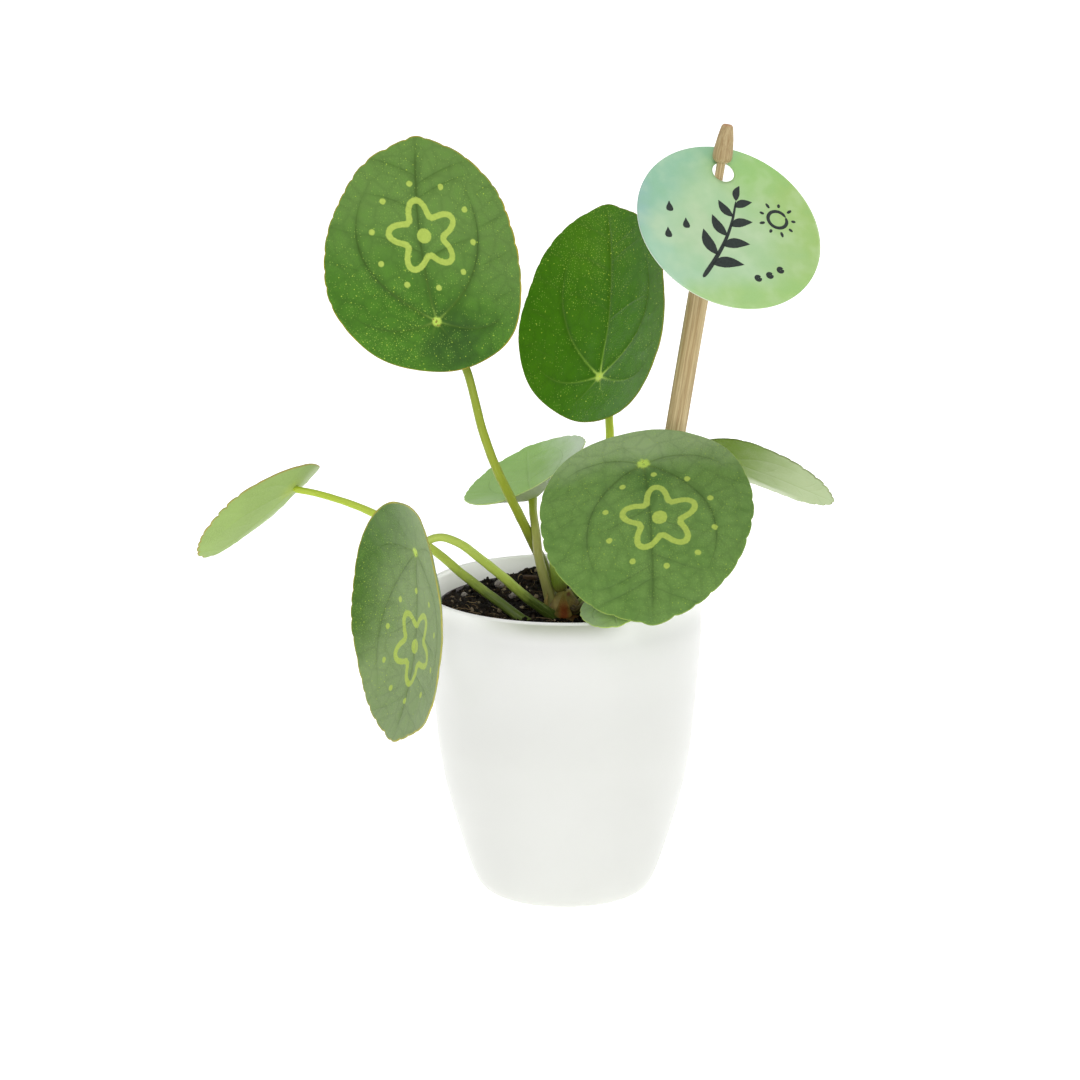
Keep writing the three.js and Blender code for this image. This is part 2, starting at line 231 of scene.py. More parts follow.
def tubesObject(name, grids, material, attributes, smooth):
    # many tubes of 3 or 4 sides in one mesh, each closed by a face at both ends
    vertices, faces, start = [], [], 0
    for grid in grids:
        index = np.arange(grid.size // 3).reshape(grid.shape[:2])
        corners = np.arange(4) % grid.shape[1]
        block = np.vstack([quadsBetween(index[:-1], index[1:]), index[0, corners[::-1]], index[-1, corners]])
        vertices.append(grid.reshape(-1, 3))
        faces.append(facingOut(vertices[-1], block) + start)
        start += index.size
    return meshObject(name, np.vstack(vertices), np.vstack(faces), material, attributes, smooth)


def settle(piece, slot, *nodes):
    # the piece rides on the one body, and stands for its CAD nodes
    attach(piece, "root")
    if nodes:
        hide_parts(*nodes)


def spin(radius, height, around):
    # a profile turned about the upright axis
    x, y = turned(np.asarray(radius)[..., None], 0, turns(around))
    return pointsAt(x, y, np.asarray(height)[..., None])


def wayAlong(points, power=1):
    # the way along a line up to each of its points, with each step raised to the power
    return np.concatenate([[0], np.cumsum(np.linalg.norm(np.diff(points, axis=0), axis=1) ** power)])


def throughPoints(points, count):
    # a smooth line through the points, and its length: centripetal Catmull-Rom, which blends straight lines
    # between the points three times over, then spaced evenly
    points = np.asarray(points, float)
    points = np.vstack([2 * points[0] - points[1], points, 2 * points[-1] - points[-2]])
    knots = wayAlong(points, 0.5)
    want = np.linspace(knots[1], knots[-2], 12 * len(points))
    span = np.clip(np.searchsorted(knots, want, side="right") - 1, 1, len(points) - 3)
    time = [knots[span + i][:, None] for i in (-1, 0, 1, 2)]
    level = [points[span + i] for i in (-1, 0, 1, 2)]
    want = want[:, None]
    for reach, starts in ((1, (0, 1, 2)), (2, (0, 1)), (1, (1,))):
        level = [((time[i + reach] - want) * level[j] + (want - time[i]) * level[j + 1])
                 / (time[i + reach] - time[i]) for j, i in enumerate(starts)]
    along = wayAlong(level[0])
    even = np.linspace(0, along[-1], count)
    return np.stack([np.interp(even, along, column) for column in level[0].T], -1), along[-1]


def facing(azimuth, elevation, turn):
    # rows are a sheet's side, its tip direction and the way its upper side faces
    a, e, t = math.radians(azimuth), math.radians(elevation), math.radians(turn)
    out = np.array([math.sin(a) * math.cos(e), -math.cos(a) * math.cos(e), math.sin(e)])
    upright = unit(np.array([0, 0, 1.0]) - out * out[2])
    tip = upright * math.cos(t) + np.cross(upright, out) * math.sin(t)
    return np.stack([np.cross(tip, out), tip, out])


# colours, node groups and materials
def light(colour):
    # a screen colour as light; a wire stays as it is, and so does a colour that has a fourth value
    if isinstance(colour, Wire) or len(colour) == 4:
        return colour
    share = np.array(colour) / 255
    share = np.where(share <= 0.04045, share / 12.92, ((share + 0.055) / 1.055) ** 2.4)
    return (*share.tolist(), 1.0)


def times(colour, share):
    return tuple(min(255, share * value) for value in colour)


def blend(share, first, second):
    # from the first colour to the second as share goes from 0 to 1
    return wired(share.tree, "Mix", 2, {0: share, 6: light(first), 7: light(second)}, data_type="RGBA")


def layered(colour, *coats):
    # each coat is how much of it lies on the ones before, and its colour
    for share, coat in coats:
        colour = blend(share, colour, coat)
    return colour


def noiseAt(place, size, detail=3.0, roughness=0.55):
    # noise from 0 to 1 whose patches are about that many millimetres
    sockets = {"Vector": place, "Scale": size ** -1.0, "Detail": detail, "Roughness": roughness}
    return wired(place.tree, "TexNoise", "Fac", sockets)


def fromEdge(place, scale):
    # the way to the nearest edge between flat cells
    return wired(place.tree, "TexVoronoi", "Distance", {"Vector": place, "Scale": scale},
                 feature="DISTANCE_TO_EDGE", voronoi_dimensions="2D")


def moved(place, by):
    return wired(place.tree, "VectorMath", 0, {0: place, 1: by})


def joined(*parts):
    return wired(parts[0].tree, "CombineXYZ", 0, dict(enumerate(parts)))


def splitUp(place):
    made = addNode(place.tree, "SeparateXYZ", {0: place})
    return [Wire(place.tree, socket) for socket in made.outputs]


def attributeOf(tree, name, output="Fac"):
    return wired(tree, "Attribute", output, attribute_name=name)


def newMaterial(name, placeName=None):
    # gives the material and the place on its piece in millimetres, from the object or from an attribute
    made = bpy.data.materials.new(name)
    made.use_nodes = True
    tree = made.node_tree
    tree.nodes.clear()
    if placeName:
        return made, attributeOf(tree, placeName, "Vector")
    inMetres = wired(tree, "TexCoord", "Object")
    return made, wired(tree, "VectorMath", 0, {0: inMetres, "Scale": 1 / mm}, operation="SCALE")


def finished(made, colour, roughness, specular, relief=None, depth=0, more={}):
    # the shader with its colour and gloss, and a relief from 0 to 1 that is so many millimetres deep
    tree = made.node_tree
    sockets = {"Base Color": colour, "Roughness": roughness, "Specular IOR Level": specular, **more}
    if relief:
        bump = {"Height": relief, "Distance": depth * mm, "Strength": 1.0}
        sockets["Normal"] = wired(tree, "Bump", 0, bump)
    addNode(tree, "OutputMaterial", {0: wired(tree, "BsdfPrincipled", 0, sockets)})
    return made


def nodeGroup(name, inputs, outputs, formula, **settings):
    # makes a formula on wires a node group with named sockets, and gives the function that places it; its
    # first socket is a place, and the others are numbers
    tree = bpy.data.node_groups.new(name, "ShaderNodeTree")
    for side, names in (("INPUT", inputs), ("OUTPUT", outputs)):
        for socketName in names:
            kind = "NodeSocketVector" if socketName == "Place" else "NodeSocketFloat"
            tree.interface.new_socket(socketName, in_out=side, socket_type=kind)
    given = tree.nodes.new("NodeGroupInput").outputs[:len(inputs)]
    results = formula(*[Wire(tree, socket) for socket in given], **settings)
    for result, target in zip(results, tree.nodes.new("NodeGroupOutput").inputs):
        tree.links.new(result.socket, target)

    def placed(*values):
        made = addNode(values[0].tree, "Group", dict(enumerate(values)), node_tree=tree)
        wires = [Wire(values[0].tree, socket) for socket in made.outputs]
        return wires if len(wires) > 1 else wires[0]

    return placed


def mottleFormula(place, size, contrast):
    # slow patches with a finer grain in them, from 0 to 1
    return [clamped((noiseAt(place, size, 4.0, 0.6) - 0.5) * contrast + 0.5)]


def fibreFormula(place, width, length):
    # streaks along the third direction, from 0 to 1
    across, ahead, along = splitUp(place)
    return [noiseAt(joined(across / width, ahead / width, along / length), 1.0, 4.0, 0.65)]


def speckFormula(place, cell, radius, amount, dimensions):
    # small round specks, one in some of the cells, crowded where a slow noise is high
    scale = cell ** -1.0
    cells = addNode(place.tree, "TexVoronoi", {"Vector": place, "Scale": scale, "Randomness": 1.0},
                    voronoi_dimensions=dimensions)
    lot = splitUp(Wire(place.tree, cells.outputs["Color"]))
    crowd = wired(place.tree, "TexNoise", "Fac", {"Vector": place, "Scale": scale * 0.16, "Detail": 2.0})
    there = lot[0].math("LESS_THAN", amount * soft(crowd, 0.36, 0.66))
    fromMiddle = Wire(place.tree, cells.outputs["Distance"]) / (radius * (lot[1] * 0.7 + 0.4))
    return [soft(fromMiddle, 1.1, 0.6) * there]


speckSockets = ("Place", "Cell", "Radius", "Amount")
mottle = nodeGroup("mottle", ("Place", "Size", "Contrast"), ("Value",), mottleFormula)
fibre = nodeGroup("fibre", ("Place", "Width", "Length"), ("Value",), fibreFormula)
specks = nodeGroup("specks", speckSockets, ("Mask",), speckFormula, dimensions="3D")
flatSpecks = nodeGroup("flatSpecks", speckSockets, ("Mask",), speckFormula, dimensions="2D")


# leaves
blade = {
    "thickness": 0.8, "marginThickness": 0.34, "spokes": 444, "rings": 46,
    "oval": 0.045, "egg": 0.027, "stalkPoint": 0.22, "apexWidth": 8, "toothDepth": 0.45,
    "veinPress": 0.13, "veinWidth": 0.011, "quilt": 0.14, "quiltWidth": 0.04,
    "grownLength": 60, "lumps": ((0.16, 7), (0.07, 2.6)), "pinch": (0.5, 3.2), "bellyReach": 7,
}
# veins that leave the stalk point on both sides: first angle from the tip, bend, length in leaf lengths,
# strength
strongVeins = ((55, 88, 0.7, 1), (106, 190, 0.4, 0.7), (150, 260, 0.2, 0.25))
sideVeins = (0.3, 0.48, 0.63)  # where pairs of finer veins leave the midrib
outerVeins = (0.08, 0.24, 0.4, 0.55)  # and where finer ones leave the strong pair

# "facing" is azimuth, elevation and turn; "print" is ahead, side, size and turn; "crowd" is side, ahead,
# reach and how many flecks more; the painted sheen, paler or darker than the leaf, is its colour, the way it
# grows, from and to, and its strength; the patch, on some leaves such as top_left a painted shade, is its
# colour, side, ahead, width and length, and its strength
plainLeaf = {"bow": 0.02, "apex": 1.15, "notches": 37, "print": None, "net": 0.5, "rimWidth": 1, "star": 1,
             "crowd": (0, 0, 60, 0.8), "belly": 0}
leaves = {
    "top_left": {
        "at": (-32.3, -4, 149), "facing": (-18, -3, -5.5), "length": 59, "cup": 58, "lift": 0,
        "bow": -0.03, "seed": 3, "wave": 0.5, "teeth": 1, "veins": 0.85, "pale": 0.3, "flecks": 0.85,
        "print": (22, -0.5, 9, 10), "net": 0.55, "rimWidth": 1.4, "crowd": (-14, -1, 17, 1.9),
        "deep": (50, 94, 10), "fresh": (82, 133, 34), "under": (150, 182, 112), "rim": (190, 160, 46),
        "paintedSheen": ((112, 142, 74), 20, (-2, 28), 0.62), "toneAndShadePatch": ((46, 78, 28), (5, -6, 16, 11), 0.7),
    },
    "top_middle": {
        "at": (8.7, 18, 130.7), "facing": (-47, 25, -11), "length": 56.5, "cup": 57, "lift": 27,
        "seed": 5, "wave": 0.2, "teeth": 0.45, "veins": 0.75, "pale": 0.9, "flecks": 1,
        "crowd": (-5, 33, 15, 2.8),
        "deep": (52, 104, 2), "fresh": (70, 120, 6), "under": (150, 182, 112), "rim": (150, 140, 46),
        "paintedSheen": ((78, 116, 36), 90, (8, 24), 0.6), "toneAndShadePatch": ((94, 142, 24), (-4, 35, 15, 12), 0.3),
    },
    "front_right": {
        "at": (19.5, -12, 114.5), "facing": (-15, 59, 167), "length": 59, "cup": -24, "lift": -40,
        "bow": -0.02, "seed": 8, "wave": 0.3, "teeth": 1.1, "veins": 0.6, "pale": 0.15, "flecks": 0.5,
        "print": (18.5, -3.5, 9.2, 40), "net": 0.6, "notches": 28, "star": 1.3,
        "deep": (80, 118, 50), "fresh": (118, 152, 78), "under": (158, 190, 122), "rim": (166, 186, 84),
        "paintedSheen": ((144, 168, 116), 0, (6, -9), 1), "toneAndShadePatch": ((66, 108, 36), (0, 7, 9, 7), 0.6),
    },
    "left_hanging": {
        "at": (-38, -14.3, 92), "facing": (-62, -7, 172), "length": 61, "cup": 64, "lift": 45,
        "seed": 13, "wave": 0.6, "teeth": 1, "veins": 0.3, "pale": 0.15, "flecks": 0.75,
        "print": (24, 1, 9.4, 0), "rimWidth": 2.2, "crowd": (19, 14, 20, 1.6),
        "deep": (56, 94, 22), "fresh": (86, 124, 44), "under": (154, 186, 120), "rim": (196, 178, 60),
        "paintedSheen": ((136, 158, 106), 121, (19, -4), 0.9), "toneAndShadePatch": ((92, 120, 66), (5, -8, 15, 10), 0.55),
    },
    "far_left": {
        "at": (-70.5, 12, 102.6), "facing": (-121, 42, 167), "length": 39.4, "cup": 52, "lift": 16,
        "seed": 21, "wave": 0.5, "teeth": 1.9, "veins": 0.4, "pale": 0.4, "flecks": 0.5,
        "apex": 0.3, "rimWidth": 1.8,
        "deep": (84, 126, 56), "fresh": (112, 152, 74), "under": (156, 184, 102), "rim": (170, 132, 56),
        "paintedSheen": ((202, 216, 178), 90, (2, 15), 0.8), "toneAndShadePatch": ((182, 196, 152), (6, -5, 6, 4), 0.5),
    },
    "middle_back": {
        "at": (-8.4, 13.7, 100), "facing": (-106, 64, -102), "length": 41, "cup": 48, "lift": 35,
        "bow": -0.02, "seed": 34, "wave": 0.4, "teeth": 0.8, "veins": 0.05, "pale": 0.3, "flecks": 0.4,
        "net": 0.12, "belly": 2.2,
        "deep": (136, 176, 96), "fresh": (158, 194, 118), "under": (204, 222, 172), "rim": (190, 208, 120),
        "paintedSheen": ((210, 224, 206), 90, (1, 17), 0.85), "toneAndShadePatch": ((166, 196, 140), (-12, 0, 8, 7), 0.5),
    },
    "right_back": {
        "at": (41.8, 14, 110), "facing": (142, 55, -124), "length": 38, "cup": 11, "lift": -4,
        "seed": 55, "wave": 0.6, "teeth": 1.7, "veins": 0.4, "pale": 0.4, "flecks": 0.9,
        "apex": 0.2, "rimWidth": 1.6,
        "deep": (84, 130, 50), "fresh": (110, 150, 70), "under": (120, 152, 48), "rim": (92, 98, 46),
        "paintedSheen": ((174, 191, 143), 0, (0, 21), 1), "toneAndShadePatch": ((206, 216, 186), (-15, 10, 6, 22), 0.75),
    },
    "front_small": {
        "at": (12.3, -27, 84.1), "facing": (-51, 70, 130), "length": 20, "cup": 5, "lift": -5,
        "seed": 89, "wave": 0.2, "teeth": 0.8, "veins": 0.25, "pale": 0.3, "flecks": 0.4,
        "deep": (152, 186, 108), "fresh": (172, 206, 122), "under": (160, 190, 122), "rim": (176, 196, 84),
        "paintedSheen": ((156, 176, 150), 90, (-2, 8), 0.5), "toneAndShadePatch": ((130, 150, 120), (0, -3, 6, 3), 0.4),
    },
}
leaves = {key: {**plainLeaf, **leaf} for key, leaf in leaves.items()}
shadeless = ("left_hanging",)  # it hangs close to the pot, and the light of a white room wraps round it


def veinPattern(x, y, bow, width):
    # x across and y ahead in leaf lengths from the stalk point. Each vein is exp(-(distance / width)^2):
    # the midrib is a bowed line, the strong ones are curves angle = start - bend * reach^2, and the finer
    # ones are straight lines that climb away from the midrib and from the strong pair.
    def vein(away):
        return exponent(-(away * away))

    x = x - y * (0.78 - y) * (bow * 6.5)
    reach = squareRoot(x * x + y * y + 1e-6)
    turn, aside = abs(angleOf(x, y)), abs(x)
    total = vein(x / width) * soft(y, -0.01, 0.01) * (1.0 - soft(y, 0.66, 0.78) * 0.8)
    for start, bend, length, strength in strongVeins:
        bend = math.radians(bend)
        slope = reach * reach * (2 * bend)
        away = reach * (turn - math.radians(start) + reach * reach * bend)
        away = away / squareRoot(slope * slope + 1.0) / (1.0 - soft(reach, 0, length) * 0.55) / width
        total = larger(total, vein(away) * soft(reach, length, length * 0.6) * strength)
    for i, start in enumerate(sideVeins):
        shift = soft(x, -0.01, 0.01) * (0.05 if i % 2 else -0.04)
        away = (y - start - aside * 0.62 + aside * aside * 0.9 - shift) / (width * 0.72)
        total = larger(total, vein(away) * soft(aside, 0.3, 0.12) * 0.5)
    for start in outerVeins:
        away = (y - start - (aside - 0.27) * 0.42) / (width * 0.65)
        total = larger(total, vein(away) * soft(aside, 0.27, 0.3) * soft(aside, 0.47, 0.38) * 0.3)
    return total


def veinFormula(place, length, bow):
    side, ahead, _ = splitUp(place)
    x, y = side / length, ahead / length
    return veinPattern(x, y, bow, 0.0052), veinPattern(x, y, bow, 0.026), distance(side, ahead)


def flowerFormula(place, ahead, side, size, turn):
    # a plain flower drawn in one line: radius = size * (0.8 + 0.22 cos 5a), a dot in its middle and a
    # ring of dots around it
    across, along, _ = splitUp(place)
    rough = (noiseAt(place, 0.7, 2.0) - 0.5) * 0.35
    x, y = across - side, along - ahead
    reach = squareRoot(x * x + y * y + 1e-4)
    angle = angleOf(x, y) + turn
    slope = sine(angle * 5.0) * size * 1.1 / larger(reach, size * 0.58)
    petals = abs(reach - size * (cosine(angle * 5.0) * 0.22 + 0.8)) / squareRoot(slope * slope + 1.0)
    ringReach = size * 1.5
    dots = distance(ringReach * angle.math("WRAP", math.pi / 10, -math.pi / 10), reach - ringReach)
    drawn = larger(soft(petals + rough, 0.92, 0.62), soft(reach + rough, 2.05, 1.75))
    return [larger(drawn, soft(dots + rough, 0.92, 0.62))]


leafVeins = nodeGroup("leafVeins", ("Place", "Length", "Bow"), ("Line", "Band", "Reach"), veinFormula)
flowerSockets = ("Place", "Ahead", "Side", "Size", "Turn")
printedFlower = nodeGroup("printedFlower", flowerSockets, ("Mask",), flowerFormula)


def leafMaterial(name, leaf):
    made, place = newMaterial(name, "bladePlace")
    upper, margin = attributeOf(place.tree, "upperSide"), attributeOf(place.tree, "fromMargin")
    line, band, fromStalk = leafVeins(place, leaf["length"], leaf["bow"])
    side, ahead, _ = splitUp(place)
    shifted = moved(place, (leaf["seed"] * 7.3, 0, 0))
    broad, middling, fine = (mottle(shifted, *values) for values in ((12.0, 1.7), (3.2, 2.2), (0.9, 1.6)))
    finest = soft(fromEdge(shifted, 1.15), 0.2, 0.03) * soft(broad, 0.2, 0.7)
    bent = noiseAt(shifted, 3.0, 2.0) * 1.6
    net = fromEdge(moved(shifted, joined(bent, bent)), 0.22)

    deep, fresh, under, veins = leaf["deep"], leaf["fresh"], leaf["under"], leaf["veins"]
    dark = times(deep, 0.6)
    # painted sheen: a paler stretch across the leaf that stands in for reflected light
    paintedSheenColour, toward, (start, end), strength = leaf["paintedSheen"]
    toward = math.radians(toward)
    along = side * math.sin(toward) + ahead * math.cos(toward) + (broad - 0.5) * 9.0
    paintedSheen = soft(along, start, end) * strength
    # a soft patch of tone; on some leaves, such as top_left, it is a painted shade
    toneAndShadeColour, (x, y, width, length), strength = leaf["toneAndShadePatch"]
    fromPatch = distance((side - x) / width, (ahead - y) / length)
    toneAndShadePatch = soft(fromPatch + (broad - 0.5) * 0.9, 1.15, 0.25) * strength
    near = soft(fromStalk / leaf["length"], 0.36, 0.02)
    veinColour = blend((near * 0.6 + 0.4) * leaf["pale"], dark, (132, 176, 60))
    x, y, reach, more = leaf["crowd"]
    many = soft(distance(side - x, ahead - y), reach * 1.3, reach * 0.25) * more + 0.5
    flecks, spots = flatSpecks(shifted, 0.7, 0.19, many), flatSpecks(shifted, 1.7, 0.1, many * 0.7)
    scars = flatSpecks(shifted, 0.9, 0.3, 3.0) * soft(fromStalk, 1.6, 0.9)
    star = soft(fromStalk + (fine - 0.5) * 1.0, 1.6 * leaf["star"], 0.75 * leaf["star"])
    uneven = mottle(shifted, 5.0, 2.4) * 0.75 + 0.25
    rim = soft(margin + (fine - 0.5) * 0.12, 0.26 * leaf["rimWidth"], 0.08 * leaf["rimWidth"]) * uneven
    top = layered(
        blend(broad * 0.6 + middling * 0.2 + fine * 0.26, deep, fresh),
        (paintedSheen, paintedSheenColour),
        (toneAndShadePatch, toneAndShadeColour),
        (soft(net, 0.16, 0.0) * 0.22 * leaf["net"], dark),
        (soft(net, 0.12, 0.4) * middling * 0.3 * leaf["net"], times(fresh, 1.16)),
        (finest * 0.2 * leaf["net"], dark),
        (band * 0.42 * veins, dark),
        (line * (near * 0.2 + 0.7) * veins, veinColour),
        (flecks * leaf["flecks"] * 0.7, (156, 190, 84)),
        (spots * leaf["flecks"], (172, 200, 72)),
        (soft(fromStalk, 4.5, 1.2) * line * leaf["pale"], (160, 192, 84)),
        (star, (180, 208, 88)),
        (scars * leaf["flecks"], (120, 84, 40)),
        (rim * 0.8, leaf["rim"]),
    )
    if leaf["print"]:
        *where, turn = leaf["print"]
        printColour = blend(fine, (158, 182, 78), (182, 202, 92))
        top = blend(printedFlower(place, *where, math.radians(turn)) * 0.94, top, printColour)
    below = layered(
        blend(broad * 0.6 + fine * 0.3, under, times(under, 0.86)),
        (middling * 0.35, times(under, 0.88)),
        (paintedSheen, paintedSheenColour),
        (toneAndShadePatch, toneAndShadeColour),
        (line * 0.3, times(under, 0.86)),
        (flecks * 0.12, (214, 224, 190)),
        (soft(fromStalk + (fine - 0.5) * 2.0, 5.5, 0.5) * 0.6, (166, 184, 74)),
        (rim * 0.8, leaf["rim"]),
    )
    gloss = upper * -0.17 + 0.58 + (fine - 0.5) * 0.14 + flecks * 0.1
    relief = fine * 0.25 - line * upper * 0.6 - finest * 0.22
    return finished(made, blend(upper, below, top), gloss, 0.15, relief, 0.12)


def bladeOutline(leaf, turn):
    # radius = half * (1 + oval cos 2t + egg cos 3t), a small point at the tip, and teeth with round backs
    # and sharp notches that fade out towards the base
    half = leaf["length"] / (2 * (1 + blade["oval"]))
    shape = half * (1 + blade["oval"] * np.cos(2 * turn) + blade["egg"] * np.cos(3 * turn))
    fromTip = np.abs((turn + np.pi) % (2 * np.pi) - np.pi)
    share, seed = leaf["length"] / blade["grownLength"], leaf["seed"]
    shape += leaf["apex"] * share * np.exp(-((fromTip / math.radians(blade["apexWidth"])) ** 2))
    warped = turn + 0.05 * np.sin(3 * turn + seed) + 0.03 * np.sin(7 * turn + 2 * seed)
    teeth = round(leaf["notches"] * min(1, share + 0.12))
    notch = (1 - np.abs(np.cos(teeth * warped / 2))) ** 2
    grown = soft(np.cos(fromTip), -0.88, 0.15) * (0.75 + 0.25 * np.sin(4 * turn + seed))
    uneven = 0.16 * np.sin(5 * turn + seed) + 0.12 * np.sin(9 * turn + 2 * seed)
    return shape - blade["toothDepth"] * leaf["teeth"] * notch * grown + uneven * share, half


def bladeGrid(leaf):
    # rows run from the middle of the upper side over a rounded margin to the middle of the underside; the
    # flat sheet is raised by its skins, lumps and veins, then bent across and along to arcs of a circle
    turn = turns(blade["spokes"])
    outline, half = bladeOutline(leaf, turn)
    length, seed = leaf["length"], leaf["seed"]
    middle = half * (1 + blade["oval"] - blade["egg"]) - blade["stalkPoint"] * length
    thin, thick = blade["marginThickness"] / 2, blade["thickness"] / 2
    share = np.linspace(0, 1, blade["rings"]) ** 0.92
    skin = thin + (thick - thin) * (1 - share ** 2) ** 0.8
    bend = np.radians(np.linspace(72, -72, 7))
    inner = share[:, None] * (outline - thin)
    reach = np.vstack([inner, outline - thin + thin * np.cos(bend)[:, None], inner[::-1]])
    skins = np.concatenate([skin, thin * np.sin(bend), -skin[::-1]])[:, None]
    side, ahead = reach * np.sin(turn), middle + reach * np.cos(turn)
    place = pointsAt(side, ahead)

    def bell(width):
        return np.exp(-(side ** 2 + ahead ** 2) / width ** 2)

    relief = 0
    for i, (height, size) in enumerate(blade["lumps"]):
        relief = relief + height * valueNoise(place + (0, 0, seed), size, seed + i)
    wave = np.sin(2 * turn + seed) + 0.6 * np.sin(5 * turn + 2 * seed)
    relief += leaf["wave"] * wave * (reach / outline) ** 3 * 0.6
    relief *= soft(distance(side, ahead), 2, 9)
    for depth, width in ((blade["veinPress"], blade["veinWidth"]), (blade["quilt"], blade["quiltWidth"])):
        relief -= depth * veinPattern(side / length, ahead / length, leaf["bow"], width)
    depth, width = blade["pinch"]
    rise = skins + (relief - depth * bell(width)) * length / blade["grownLength"]
    rise += leaf["belly"] * (1 - bell(blade["bellyReach"]))

    sheet, lifted = [], rise
    for way, degrees in ((side, leaf["cup"]), (ahead, leaf["lift"])):
        rate = math.radians(degrees) / length + 1e-9
        sheet.append(np.sin(rate * way) * (1 / rate - rise))
        lifted = lifted + (1 - np.cos(rate * way)) / rate
    grid = pointsAt(*sheet, lifted) @ facing(*leaf["facing"]) + leaf["at"]
    upper = (np.arange(len(reach)) < len(reach) / 2)[:, None]
    return grid, {"bladePlace": place, "upperSide": upper, "fromMargin": outline - reach}


for key, leaf in leaves.items():
    grid, attributes = bladeGrid(leaf)
    piece = gridObject("leaf." + key, grid, leafMaterial("leaf " + key, leaf), attributes)
    settle(piece, "leaf", "leaf_" + key)
    if key in shadeless:
        piece.visible_shadow = piece.visible_diffuse = False
print("leaves made")


# leaf stalks
trunk = {
    "profile": ((2.2, 44), (3.2, 52), (3.4, 66), (4, 71), (4, 74.6), (2.8, 76.6), (1.3, 78.6)),
    "rows": 110, "around": 72, "ridge": 0.16, "bumps": ((0.28, 1.8, 4), (0.12, 0.7, 5)),
}
stalkShape = {
    "rows": 110, "around": 20, "neckLength": 3, "inBlade": 0.25, "bump": (0.05, 2.4),
    "foot": ((0, -0.6), (0.2, 1.8)),  # how far up and how far from the trunk's skin the foot's points lie
    "sunkFoot": -0.9, "footFlare": (0.42, 3.2), "headFlare": (0.28, 1.6), "across": (0.35, 1, 0.05),
}
# "from" is the angle and the height where the stalk leaves the trunk, "radii" are at the trunk and the
# blade, "way" the points it passes; a straight neck meets the blade at a slant; a sunk foot enters the
# trunk that much lower. "colours" are at the foot, in the middle and under the blade, and where the first
# gives way to the second.
plainStalk = {"straight": False, "sunk": None,
              "colours": ((112, 128, 58), (142, 168, 60), (160, 190, 80), (0.03, 0.38))}
stalks = {
    "top_left": {
        "from": (120, 74.3), "radii": (1.35, 0.98),
        "way": ((-4.8, 7, 82.1), (-7.9, 7, 88.7), (-11.6, 5, 96.9), (-17.3, 1.5, 109.7), (-21, 1, 120.3),
                (-24.9, 3, 135.1), (-28.8, 3.2, 143)),
        "colours": ((100, 106, 46), (150, 164, 44), (124, 142, 42), (0.03, 0.36)),
    },
    "top_middle": {
        "from": (75, 74.5), "radii": (1.3, 1),
        "way": ((5.2, 9.5, 84.2), (8.4, 14, 93.6), (10.7, 18, 103.3), (11.7, 21, 113.3), (11.3, 21.7, 122)),
        "colours": ((92, 108, 40), (150, 170, 58), (200, 218, 60), (0.03, 0.38)),
    },
    "front_right": {
        "from": (-14, 74.2), "radii": (1.4, 1.1), "way": ((8.5, -1, 83), (14, 0, 95), (18.2, -3.5, 107)),
    },
    "left_hanging": {
        "from": (230, 73.6), "radii": (1.4, 0.95), "straight": True, "sunk": 2.2,
        "way": ((-9.7, -6.5, 78.2), (-15.8, -8, 84.1), (-21.5, -9.5, 89.2), (-26.5, -11, 93.4),
                (-31, -12.1, 95.4), (-34.2, -12.9, 94.9)),
        "colours": ((66, 84, 26), (176, 196, 82), (172, 192, 86), (0.16, 0.42)),
    },
    "far_left": {
        "from": (205, 69), "radii": (1.4, 0.82), "straight": True,
        "way": ((-9.9, -5.3, 71.6), (-17.9, -3.5, 77.1), (-25.8, 0, 82.4), (-33.8, 4, 88.2), (-49, 9, 96.5),
                (-62, 11, 100.9)),
        "colours": ((84, 102, 38), (174, 194, 74), (170, 190, 52), (0.18, 0.5)),
    },
    "middle_back": {
        "from": (164, 74.2), "radii": (1.35, 1), "straight": True, "sunk": 0.4,
        "way": ((-4.9, 0.4, 80.4), (-6.7, 1.5, 87), (-7.4, 4.5, 92.4), (-8.1, 8.6, 96.4)),
        "colours": ((152, 148, 90), (166, 166, 92), (146, 164, 44), (0.03, 0.38)),
    },
    "right_back": {
        "from": (30, 74.4), "radii": (1.2, 0.8), "way": ((11, 5.5, 84), (22, 9.5, 96), (34, 12, 104)),
    },
    "front_small": {
        "from": (-58, 74.2), "radii": (0.95, 0.7), "way": ((5.5, -12, 78), (9.5, -21, 80.5)),
        "colours": ((66, 50, 30), (84, 84, 44), (140, 160, 84), (0.03, 0.38)),
    },
}


def onTrunk(angle, height, away):
    radius, level = np.array(trunk["profile"]).T
    return (*turned(np.interp(height, level, radius) + away, 0, math.radians(angle)), height)


def stalkMaterial(name, foot, body, head, change):
    made, place = newMaterial(name, "stalkPlace")
    share = attributeOf(place.tree, "stalkShare")
    streaks, patches = fibre(place, 0.35, 9.0), mottle(place, 4.0, 1.6)
    colour = layered(
        blend(soft(share + (patches - 0.5) * 0.12, *change), foot, body),
        (soft(share, 0.45, 1.0), head),
        (soft(streaks, 0.5, 0.72) * 0.26, (206, 218, 128)),
        (soft(patches, 0.6, 0.9) * (1.0 - share) * 0.2, (110, 88, 50)),
        (specks(place, 1.3, 0.1, 0.5) * 0.5, (214, 222, 168)),
    )
    return finished(made, colour, streaks * 0.22 + 0.34, 0.28, streaks, 0.08)


